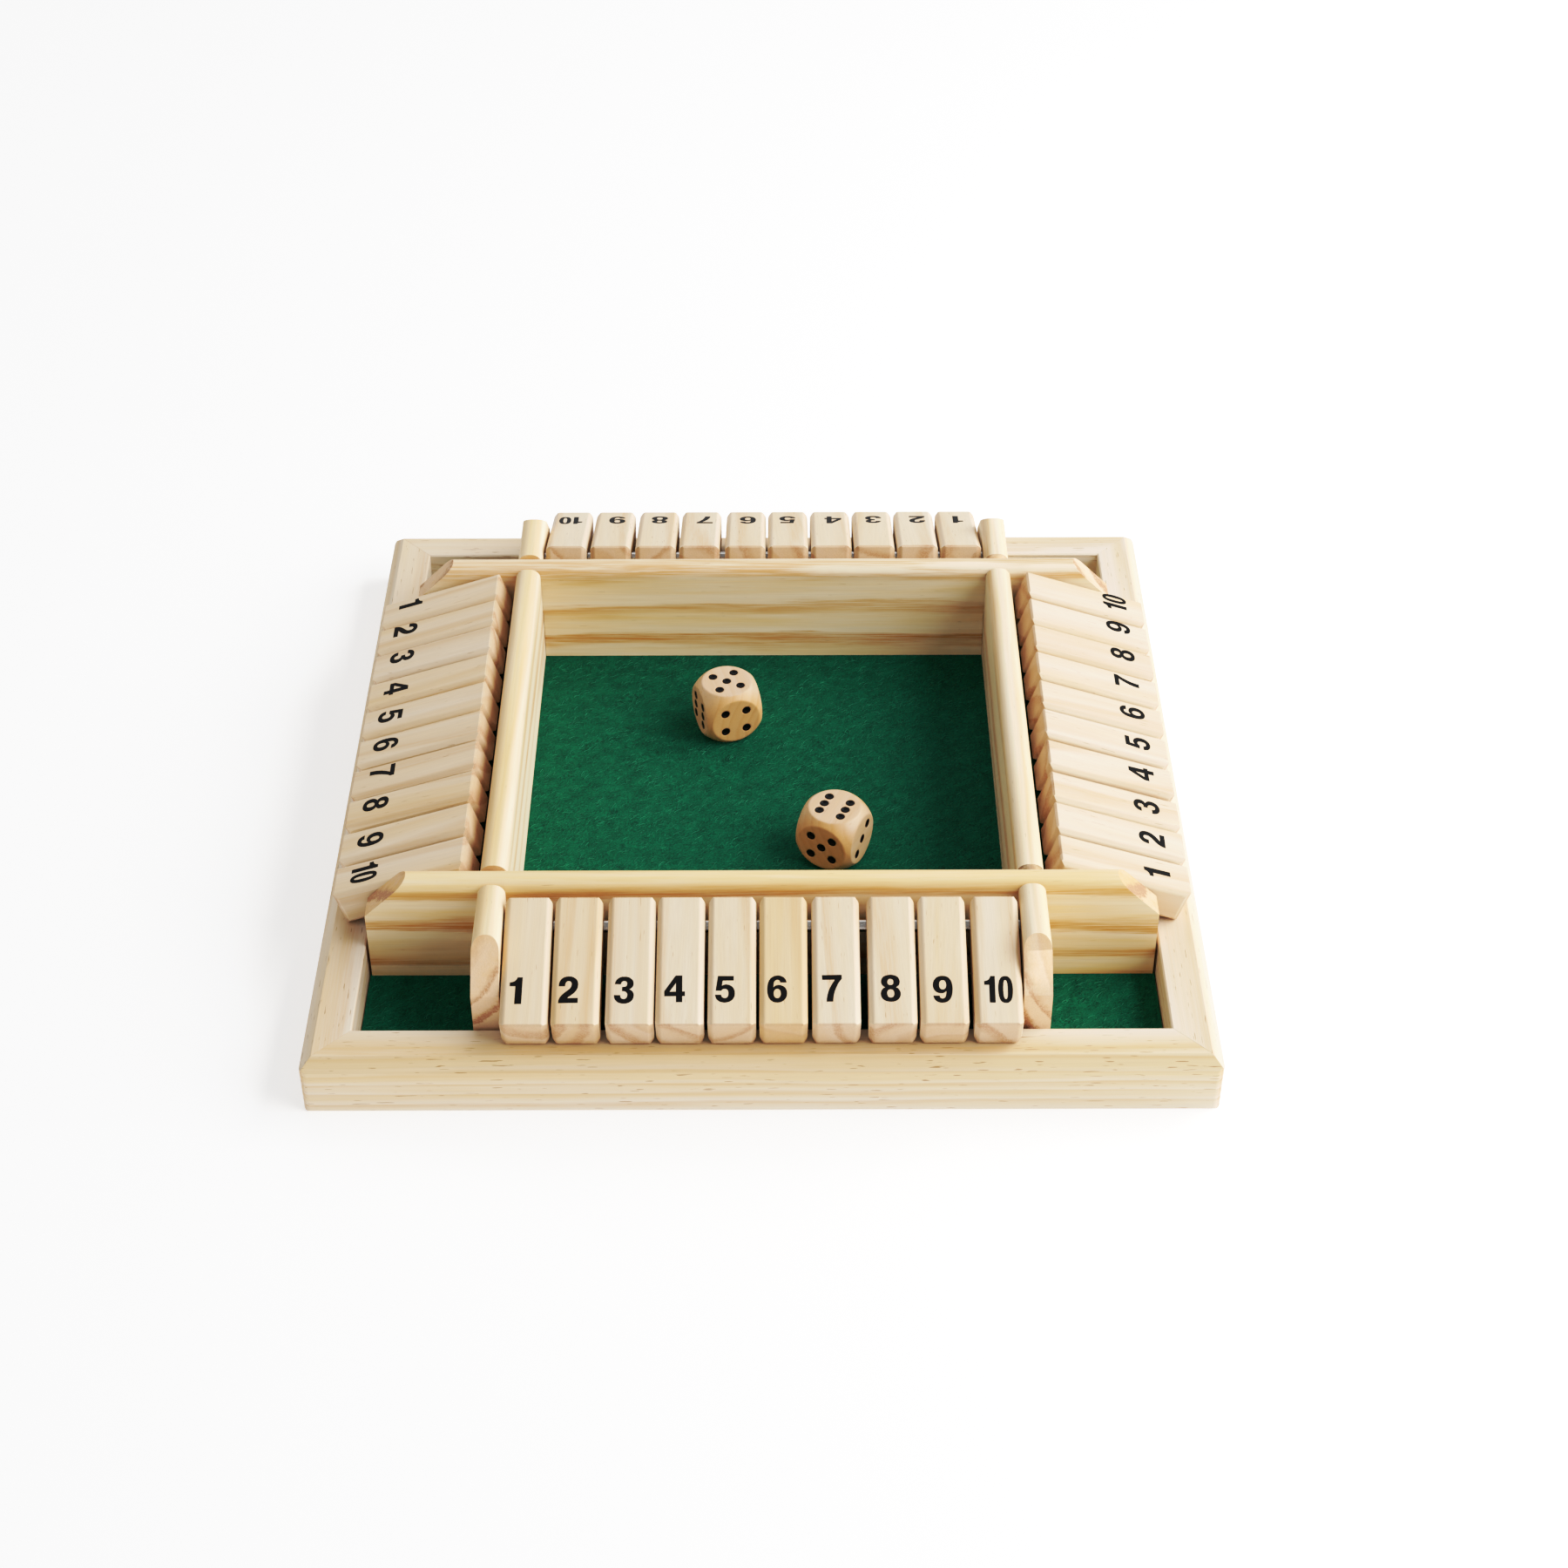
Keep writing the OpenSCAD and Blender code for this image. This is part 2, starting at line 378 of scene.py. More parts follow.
def write_attribute(mesh: bpy.types.Mesh, name: str, kind: str, domain: str,
                    values: np.ndarray) -> None:
    """Stores values on a mesh.

    Args:
        mesh: The mesh.
        name: The attribute's name.
        kind: "FLOAT" or "FLOAT_VECTOR".
        domain: "POINT" or "CORNER".
        values: One value or row for each point or corner.
    """
    layer = mesh.attributes.new(name, kind, domain)
    field_name = "vector" if kind == "FLOAT_VECTOR" else "value"
    layer.data.foreach_set(field_name, np.asarray(values, np.float32).ravel())


@dataclass(frozen=True)
class Timber:
    """A light timber whose rings, fibres and flecks are solid, so they run on over every edge.

    They follow five attributes: "grain" is a place in the piece's own millimetres, with x along
    the grain and the pith of the tree on the x axis; "years" is how many rings there are to a
    millimetre; "figure" is how strong they are; "tone" goes from pale to warm wood; "end" marks
    end grain. A pitch is in bumps to a millimetre, along the grain and across it.
    """

    name: str
    pale: Colour
    warm: Colour
    late: Colour
    fleck: Colour = (0.33, 0.17, 0.07, 1)
    end_tint: Colour = (0.92, 0.82, 0.76, 1)
    end_late: Colour = (0.50, 0.29, 0.17, 1)
    honey_depth: float = 0.3
    ring_depth: float = 0.6
    ring_wander: float = 0.9
    ring_ripple: float = 0.3
    ring_uneven: float = 1.0
    mottle: float = 0.3
    fibre_depth: float = 0.16
    fleck_depth: float = 0.5
    fleck_share: float = 0.74
    roughness: float = 0.55
    relief: float = 0.05
    coat: float = 0.0
    wander_pitch: Pitch = (0.011, 0.06, 0.06)
    ripple_pitch: Pitch = (0.03, 0.6, 0.6)
    streak_pitch: Pitch = (0.013, 0.30, 0.30)
    fibre_pitch: Pitch = (0.045, 2.4, 2.4)
    fleck_pitch: Pitch = (0.2, 2.6, 2.6)
    pore_pitch: Pitch = (0.5, 5.0, 5.0)

    @cached_property
    def material(self) -> bpy.types.Material:
        """The wood of all pieces with this finish.

        Returns:
            The material, made once.
        """
        sheet = Sheet(self.name)
        grain = sheet.attribute("grain", "Vector")
        tone, end, figure, years = (sheet.attribute(word) for word in ("tone", "end", "figure", "years"))
        along, across, through = sheet.parts(grain)
        radius = sheet.maths("SQRT", across * across + through * through) * years
        wander = sheet.cloud(grain, self.wander_pitch, 2.0)
        ripple = sheet.cloud(grain, self.ripple_pitch, 4.0, 0.65)
        growth = sheet.node("ShaderNodeTexNoise", {"noise_dimensions": "1D"},
                            {"W": radius * 0.8 + along * 0.003, "Scale": 1.0, "Detail": 1.0})
        rings = (radius + (wander - 0.5) * self.ring_wander + (ripple - 0.5) * self.ring_ripple
                 + (growth - 0.5) * self.ring_uneven)
        turn = sheet.maths("FRACT", rings)
        year = sheet.node("ShaderNodeTexWhiteNoise", {"noise_dimensions": "1D"},
                          {"W": sheet.maths("FLOOR", rings)})
        streak = sheet.cloud(grain, self.streak_pitch, 2.0)
        fibre = sheet.cloud(grain, self.fibre_pitch, 3.0, 0.65)
        dash = sheet.cloud(grain, self.fleck_pitch, 1.0)
        pore = sheet.cloud(grain, self.pore_pitch, 2.0, 0.6)

        honey = sheet.step(turn, 0.0, 0.5) * (1 - sheet.step(turn, 0.7, 1.0))
        honey = honey * (1.25 - 0.8 * year) * figure * self.honey_depth
        late = sheet.step(turn, 0.45, 0.82) * (1 - sheet.step(turn, 0.86, 1.0))
        lines = sheet.step(fibre, 0.36, 0.62)
        late = late * (0.25 + 0.75 * year) * (streak * 0.7 + lines * 0.6) * figure * self.ring_depth
        fleck = sheet.step(dash, self.fleck_share, self.fleck_share + 0.05) * self.fleck_depth
        warmth = sheet.node("ShaderNodeClamp", None,
                            {0: tone + honey + (streak - 0.5) * (1.0 - end * 0.8)
                             + (ripple - 0.5) * self.mottle})
        colour = sheet.mix(warmth, self.pale, self.warm)
        colour = sheet.mix(late * (1 + end * 0.9), colour, sheet.mix(end, self.late, self.end_late))
        shade = 1 + (fibre - 0.5) * self.fibre_depth + (pore - 0.5) * end * 0.3
        colour = sheet.vectors("MULTIPLY", colour, sheet.grey(shade))
        colour = sheet.mix(fleck * (1 - end), colour, self.fleck)
        colour = sheet.mix(end, colour, sheet.mix(1.0, colour, self.end_tint, "MULTIPLY"))
        relief = fibre * 0.6 + late * 0.25 + pore * end * 0.3
        return sheet.finish(
            Base_Color=colour,
            Roughness=self.roughness + (fibre - 0.5) * 0.16 + end * 0.12,
            Normal=sheet.bump(relief, self.relief),
            Specular_IOR_Level=0.35,
            Coat_Weight=self.coat,
            Coat_Roughness=0.3)


@dataclass(frozen=True)
class Felt:
    """Green wool felt, pressed, with its fibres mostly one way.

    A pitch is in bumps to a millimetre, along the nap and across it.
    """

    name: str = "green_felt_cloth"
    deep: Colour = (0.0010, 0.026, 0.013, 1)
    bright: Colour = (0.0036, 0.128, 0.068, 1)
    loose: Colour = (0.030, 0.300, 0.180, 1)
    sheen: Colour = (0.30, 0.75, 0.50, 1)
    nap_turn: float = 38.0
    relief: float = 0.08
    swirl: float = 12.0
    swirl_pitch: Pitch = (0.07, 0.09, 0.1)
    hair_pitch: Pitch = (0.9, 4.6, 1.0)
    cross_pitch: Pitch = (3.0, 2.2, 1.0)
    cross_shift: tuple[float, float, float] = (40, 9, 0)
    lump_pitch: Pitch = (0.22, 0.30, 1.0)

    @cached_property
    def material(self) -> bpy.types.Material:
        """The cloth itself, streaked along its nap.

        Returns:
            The material, made once.
        """
        sheet = Sheet(self.name)
        place = sheet.node("ShaderNodeMapping", None,
                           {"Vector": sheet.place(), "Rotation": (0, 0, -math.radians(self.nap_turn))})
        swirl = sheet.cloud(place, self.swirl_pitch, 2.0)
        bend = sheet.vectors("MULTIPLY", sheet.grey(swirl - 0.5), (0, self.swirl, 0))
        hair = sheet.cloud(sheet.vectors("ADD", place, bend), self.hair_pitch, 3.0, 0.65)
        cross = sheet.cloud(sheet.vectors("ADD", place, self.cross_shift), self.cross_pitch, 3.0, 0.7)
        lump = sheet.cloud(place, self.lump_pitch, 3.0, 0.6)
        light = sheet.step(hair * 0.42 + cross * 0.38 + lump * 0.2, 0.355, 0.625)
        colour = sheet.mix(light, self.deep, self.bright)
        return sheet.finish(
            Base_Color=colour,
            Roughness=0.9 + (hair - 0.5) * 0.1,
            Normal=sheet.bump(hair * 0.7 + cross * 0.4, self.relief),
            Specular_IOR_Level=0.1,
            Sheen_Weight=0.05,
            Sheen_Roughness=0.5,
            Sheen_Tint=self.sheen)

    @cached_property
    def fibre_material(self) -> bpy.types.Material:
        """The loose fibres, each with its own shade.

        Returns:
            The material, made once.
        """
        sheet = Sheet(self.name + "_fibres")
        own = sheet.attribute("shade")
        drift = sheet.cloud(sheet.place(), (0.4, 0.4, 0.4), 1.0)
        colour = sheet.mix(own * 0.8 + drift * 0.3, self.deep, self.loose)
        return sheet.finish(Base_Color=colour, Roughness=0.8, Specular_IOR_Level=0.25)


@dataclass(frozen=True)
class Steel:
    """Drawn steel with fine scratches."""

    name: str
    bright: Colour = (0.60, 0.59, 0.57, 1)
    dull: Colour = (0.34, 0.32, 0.30, 1)
    roughness: float = 0.24

    @cached_property
    def material(self) -> bpy.types.Material:
        """The metal, with scratches all ways and patches of handling.

        Returns:
            The material, made once.
        """
        sheet = Sheet(self.name)
        place = sheet.place()
        scratch = sheet.cloud(place, (1.2, 1.2, 9.0), 3.0, 0.7)
        patch = sheet.cloud(place, (0.12, 0.12, 0.4), 2.0)
        worn = sheet.step(patch * 0.6 + scratch * 0.4, 0.35, 0.7)
        return sheet.finish(
            Base_Color=sheet.mix(worn, self.dull, self.bright),
            Metallic=1.0,
            Roughness=self.roughness + (scratch - 0.5) * 0.2,
            Normal=sheet.bump(scratch, 0.01))


@dataclass(frozen=True)
class Hardboard:
    """The thin board under the felt: pressed wood fibre, smooth and brown."""

    name: str = "panel_hardboard"
    light: Colour = (0.52, 0.36, 0.20, 1)
    dark: Colour = (0.34, 0.21, 0.10, 1)
    splinter: Colour = (0.62, 0.48, 0.30, 1)

    @cached_property
    def material(self) -> bpy.types.Material:
        """Matted fibres with faint clouds.

        Returns:
            The material, made once.
        """
        sheet = Sheet(self.name)
        place = sheet.place()
        mat = sheet.cloud(place, (1.6, 1.6, 1.6), 4.0, 0.75)
        cloud = sheet.cloud(place, (0.04, 0.05, 0.2), 2.0)
        chip = sheet.step(sheet.cloud(place, (0.5, 2.2, 1.0), 1.0), 0.66, 0.74)
        colour = sheet.mix(mat * 0.6 + cloud * 0.4, self.dark, self.light)
        colour = sheet.mix(chip * 0.35, colour, self.splinter)
        return sheet.finish(
            Base_Color=colour,
            Roughness=0.62 + (mat - 0.5) * 0.2,
            Normal=sheet.bump(mat, 0.06),
            Specular_IOR_Level=0.3)


@dataclass(frozen=True)
class Paint:
    """Black ink or paint, a little worn where the grain stands up through it."""

    name: str
    body: Colour = (0.0025, 0.0022, 0.0022, 1)
    worn: Colour = (0.016, 0.012, 0.010, 1)
    roughness: float = 0.55

    @cached_property
    def material(self) -> bpy.types.Material:
        """The coat of black.

        Returns:
            The material, made once.
        """
        sheet = Sheet(self.name)
        place = sheet.place()
        speck = sheet.cloud(place, (3.1, 3.1, 3.1), 3.0, 0.7)
        thin = sheet.step(speck, 0.56, 0.78)
        return sheet.finish(
            Base_Color=sheet.mix(thin, self.body, self.worn),
            Roughness=self.roughness + thin * 0.15,
            Normal=sheet.bump(speck, 0.015),
            Specular_IOR_Level=0.14)


TILE_PINE = Timber("tile_pine_finish", pale=(0.735, 0.590, 0.430, 1), warm=(0.690, 0.480, 0.262, 1),
                   late=(0.540, 0.300, 0.128, 1), honey_depth=0.25, ring_depth=0.55,
                   fibre_depth=0.26, fleck_depth=0.6, fleck_share=0.72,
                   end_tint=(0.82, 0.72, 0.66, 1))
RAIL_PINE = Timber("rail_pine_finish", pale=(0.735, 0.615, 0.480, 1), warm=(0.690, 0.500, 0.280, 1),
                   late=(0.540, 0.300, 0.110, 1), honey_depth=0.55, ring_depth=0.55,
                   fibre_depth=0.22, fleck_depth=0.85, fleck_share=0.69)
BOARD_PINE = Timber("board_pine_finish", pale=(0.860, 0.700, 0.490, 1), warm=(0.800, 0.550, 0.262, 1),
                    late=(0.540, 0.240, 0.055, 1), honey_depth=0.6, ring_depth=1.3,
                    ring_wander=0.7, ring_ripple=0.5, mottle=0.9, fibre_depth=0.24,
                    fleck_depth=0.4, end_tint=(0.86, 0.71, 0.63, 1))
DICE_BEECH = Timber("dice_beech_finish", pale=(0.585, 0.414, 0.288, 1), warm=(0.560, 0.335, 0.165, 1),
                    late=(0.450, 0.235, 0.100, 1), fleck=(0.36, 0.19, 0.09, 1), honey_depth=0.15,
                    ring_depth=0.35, fibre_depth=0.16, fleck_depth=0.4, fleck_share=0.68,
                    end_tint=(1.05, 0.88, 0.64, 1), end_late=(0.47, 0.26, 0.12, 1),
                    roughness=0.42, relief=0.02, coat=0.15)


def merged(node: str) -> bmesh.types.BMesh:
    """A CAD node's shape with its loose triangles joined into whole flat faces.

    Args:
        node: The node's name.

    Returns:
        The shape, which the caller frees.
    """
    work = bmesh.new()
    work.from_mesh(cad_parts[node].data)
    bmesh.ops.remove_doubles(work, verts=work.verts, dist=WELD)
    bmesh.ops.dissolve_limit(work, angle_limit=SAME_PLANE, verts=work.verts, edges=work.edges)
    return work


def freed(work: bmesh.types.BMesh, name: str) -> bpy.types.Mesh:
    """Turns a shape that was worked on into a mesh, and frees it.

    Args:
        work: The shape.
        name: The mesh's name.

    Returns:
        The mesh.
    """
    mesh = bpy.data.meshes.new(name)
    work.to_mesh(mesh)
    work.free()
    return mesh


@dataclass(frozen=True)
class Axes:
    """A piece's own directions: along its grain, level across it, and up through it."""

    origin: Vector
    along: Vector
    across: Vector
    up: Vector

    @classmethod
    def of(cls, node: str, outward: bool = False) -> "Axes":
        """Finds them from the longest edge of a long, straight CAD node.

        Args:
            node: The node's name.
            outward: Whether along points down the slope, to a tile's outer end.

        Returns:
            The axes, with the origin at the middle of the mesh's box.
        """
        work = merged(node)
        spots = [v.co.copy() for v in work.verts]
        longest = max(work.edges, key=lambda e: e.calc_length())
        along = (longest.verts[0].co - longest.verts[1].co).normalized()
        work.free()
        if along.z > 0 if outward else along.x + along.y < 0:
            along = -along
        across = UP.cross(along).normalized()
        up = along.cross(across)
        reach = [[s.dot(a) for s in spots] for a in (along, across, up)]
        middle = [(min(r) + max(r)) / 2 for r in reach]
        return cls(along * middle[0] + across * middle[1] + up * middle[2], along, across, up)

    @property
    def turn(self) -> np.ndarray:
        """The three directions as rows."""
        return np.array([self.along, self.across, self.up])

    def local(self, points: np.ndarray) -> np.ndarray:
        """Points along, across and up in the piece's own millimetres, from metres of the frame."""
        return (points - np.array(self.origin)) @ self.turn.T / MM

    def to_frame(self, points: np.ndarray) -> np.ndarray:
        """Points in metres of the frame, from the piece's own millimetres."""
        return points * MM @ self.turn + np.array(self.origin)


@dataclass
class Cut:
    """How a piece was sawn from its tree.

    The pith and the heart are places across the piece and up, from its middle. The wood is warmer
    round its heart. A piece without a pith of its own gets one at random, and one without a heart
    has it far outside.
    """

    seed: str
    tone: float
    ring_width: float = 6.0
    nearest_pith: float = 14.0
    farthest_pith: float = 45.0
    steepest: float = 2.5
    flattest_ring: float = 15.0
    pith: Spot | None = None
    figure: float = 1.0
    heart: Spot = (1000.0, 1000.0)
    heart_reach: float = 6.5
    heart_gain: float = 0.8
    log_half: float = 900.0
    end_from: float = 0.45
    end_blend: float = 0.25

    def write(self, host: bpy.types.Object, axes: Axes) -> None:
        """Gives a mesh the attributes that its timber follows.

        Args:
            host: The piece.
            axes: Its own directions.
        """
        draw = random.Random(self.seed)
        ring_turn = math.radians(draw.uniform(self.flattest_ring, 90 - self.flattest_ring))
        ring_turn = ring_turn if draw.random() < 0.5 else math.pi - ring_turn
        ring_turn = -ring_turn if draw.random() < 0.5 else ring_turn
        pith = draw.uniform(self.nearest_pith, self.farthest_pith)
        slopes = [math.radians(draw.uniform(-self.steepest, self.steepest)) for _ in range(2)]
        slope = np.array(Matrix.Rotation(slopes[0], 3, "Y") @ Matrix.Rotation(slopes[1], 3, "Z"))
        across, up = self.pith or (-pith * math.cos(ring_turn), -pith * math.sin(ring_turn))
        shift = np.array((draw.uniform(-self.log_half, self.log_half), -across, -up))

        mesh = host.data
        spots = np.zeros(len(mesh.vertices) * 3)
        mesh.vertices.foreach_get("co", spots)
        local = axes.local(spots.reshape(-1, 3))
        write_attribute(mesh, "grain", "FLOAT_VECTOR", "POINT", local @ slope.T + shift)
        away = np.linalg.norm(local[:, 1:] - np.array(self.heart), axis=1)
        tones = self.tone + self.heart_gain * np.clip(1 - away / self.heart_reach, 0, 1)
        write_attribute(mesh, "tone", "FLOAT", "POINT", tones)
        write_attribute(mesh, "years", "FLOAT", "POINT", np.full(len(local), 1 / self.ring_width))
        write_attribute(mesh, "figure", "FLOAT", "POINT", np.full(len(local), self.figure))

        facing = np.zeros(len(mesh.polygons) * 3)
        mesh.polygons.foreach_get("normal", facing)
        cosine = np.abs(facing.reshape(-1, 3) @ np.array(axes.along))
        ends = np.clip((cosine - self.end_from) / self.end_blend, 0, 1)
        counts = np.zeros(len(mesh.polygons), int)
        mesh.polygons.foreach_get("loop_total", counts)
        write_attribute(mesh, "end", "FLOAT", "CORNER", np.repeat(ends, counts))


def sharp_edges(work: bmesh.types.BMesh) -> list[bmesh.types.BMEdge]:
    """The edges of a shape that a hand would feel."""
    return [e for e in work.edges if e.is_manifold and e.calc_face_angle() > SHARP]


def has_room(edge: bmesh.types.BMEdge) -> bool:
    """Tells whether a chamfer's edge can take a fuller rounding.

    Args:
        edge: The edge, between two faces.

    Returns:
        Whether it is long, and both its faces are wide enough.
    """
    length = edge.calc_length()
    if length <= LONG_EDGE or edge.calc_face_angle() >= CHAMFER:
        return False
    return min(f.calc_area() for f in edge.link_faces) / length > ROOM_BESIDE


def round_off(work: bmesh.types.BMesh, edges: list[bmesh.types.BMEdge], reach: float, rounds: int,
              clamp: bool) -> None:
    """Rounds some edges of a shape, and holds back roundings that would meet if told to clamp."""
    bmesh.ops.bevel(work, geom=edges, offset=reach * MM, offset_type="OFFSET", segments=rounds,
                    profile=0.5, affect="EDGES", clamp_overlap=clamp)


def eased_copy(node: str, name: str, ease: float, rounds: int = 2,
               wide: float = 0.0) -> bpy.types.Object:
    """Copies a CAD node's shape and sands its sharp edges round.

    Args:
        node: The node's name.
        name: The new object's name.
        ease: How far from an edge the rounding starts.
        rounds: Facets across the rounding.
        wide: A rounding for the long edges of chamfers that have room for it, made first.

    Returns:
        The new object, with flat faces that shade flat.
    """
    work = merged(node)
    if wide:
        round_off(work, [e for e in sharp_edges(work) if has_room(e)], wide, rounds, clamp=False)
    round_off(work, sharp_edges(work), ease, rounds, clamp=True)
    bmesh.ops.dissolve_degenerate(work, dist=SLIVER, edges=work.edges)
    bmesh.ops.triangulate(work, faces=[f for f in work.faces if len(f.verts) > 4])
    host = new_object(name, freed(work, name))
    host.data.shade_smooth()
    flatten = host.modifiers.new("flat faces", "WEIGHTED_NORMAL")
    flatten.weight = 80
    return settled(host)


@dataclass
class WoodPiece:
    """One wooden piece that stands for a CAD node of the same shape."""

    node: str
    body: str
    slot: str
    finish: Timber
    cut: Cut
    ease: float = 0.3
    rounds: int = 2
    wide: float = 0.0

    def build(self) -> None:
        """Makes the piece and ties it to the frame."""
        axes = Axes.of(self.node)
        piece = eased_copy(self.node, self.node + "_wood", self.ease, self.rounds, self.wide)
        self.cut.write(piece, axes)
        piece.data.materials.clear()
        piece.data.materials.append(self.finish.material)
        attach(piece, self.body)
        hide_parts(self.node)
        log.info("%s: %d faces, rides %s", piece.name, len(piece.data.polygons), self.body)


@dataclass
class Carcase:
    """The four mitred rails and the four halved boards.

    Where a field has four values, they are for the front, the right, the rear and the left.
    """

    ease: float = 0.35
    rail_rings: float = 3.0
    rail_slope: float = 0.5
    rail_pith: Spot = (6.0, -44.7)
    rail_heart: Spot = (5.0, 7.1)
    rail_tones: tuple[float, ...] = (-0.05, -0.3, -0.3, -0.2)
    rail_gains: tuple[float, ...] = (1.3, 0.8, 0.8, 0.8)
    board_slope: float = 0.6
    board_heart: Spot = (0.0, 15.0)
    board_tones: tuple[float, ...] = (0.35, -0.15, 0.1, -0.1)
    board_gains: tuple[float, ...] = (0.4, 0.3, -0.6, 0.5)
    board_figures: tuple[float, ...] = (1.0, 0.6, 0.85, 0.6)
    board_rings: tuple[float, ...] = (8.25, 6.0, 7.3, 6.0)
    board_piths: tuple[Spot, ...] = ((26.6, 48.5), (-30.0, 22.0), (36.6, -38.5), (24.0, 30.0))

    def build(self) -> None:
        """Makes all eight."""
        for side in Side:
            self._piece(f"rail_{side.word}", "rail_pine", RAIL_PINE, self._rail_cut(side))
            self._piece(f"divider_{side.word}", "divider_pine", BOARD_PINE, self._board_cut(side))

    def _piece(self, node: str, slot: str, finish: Timber, cut: Cut) -> None:
        """Makes one rail or board."""
        WoodPiece(node, TRAY_BODY, slot, finish, cut, self.ease).build()

    def _rail_cut(self, side: Side) -> Cut:
        """How a rail was sawn, with its heart towards the chamfer.

        Args:
            side: The rail's side.

        Returns:
            The cut.
        """
        outward = -1 if side in (Side.FRONT, Side.RIGHT) else 1
        heart = (self.rail_heart[0] * outward, self.rail_heart[1])
        return Cut(f"rail {side.word}", self.rail_tones[side.value], self.rail_rings,
                   steepest=self.rail_slope, pith=self.rail_pith, heart=heart,
                   heart_gain=self.rail_gains[side.value])

    def _board_cut(self, side: Side) -> Cut:
        """How a board was sawn, with its heart near the rounded top.

        Args:
            side: The board's side.

        Returns:
            The cut.
        """
        return Cut(f"board {side.word}", self.board_tones[side.value], self.board_rings[side.value],
                   steepest=self.board_slope, pith=self.board_piths[side.value],
                   figure=self.board_figures[side.value], heart=self.board_heart,
                   heart_gain=self.board_gains[side.value])


def oval(middle: float, top: float, level: float, foot: float, half: float, reach: float,
         rise: float) -> Outline:
    """An upright oval of four curves.

    Args:
        middle: How far right its middle is.
        top: The height of its top.
        level: The height where it is widest.
        foot: The height of its foot.
        half: Half its width.
        reach: How far the curves' handles go sideways from its top and foot.
        rise: How far they go up and down from its sides.

    Returns:
        The outline, anticlockwise from the top.
    """
    left, right = middle - half, middle + half
    return [(middle, top), (middle - reach, top, left, level + rise, left, level),
            (left, level - rise, middle - reach, foot, middle, foot),
            (middle + reach, foot, right, level - rise, right, level),
            (right, level + rise, middle + reach, top, middle, top)]


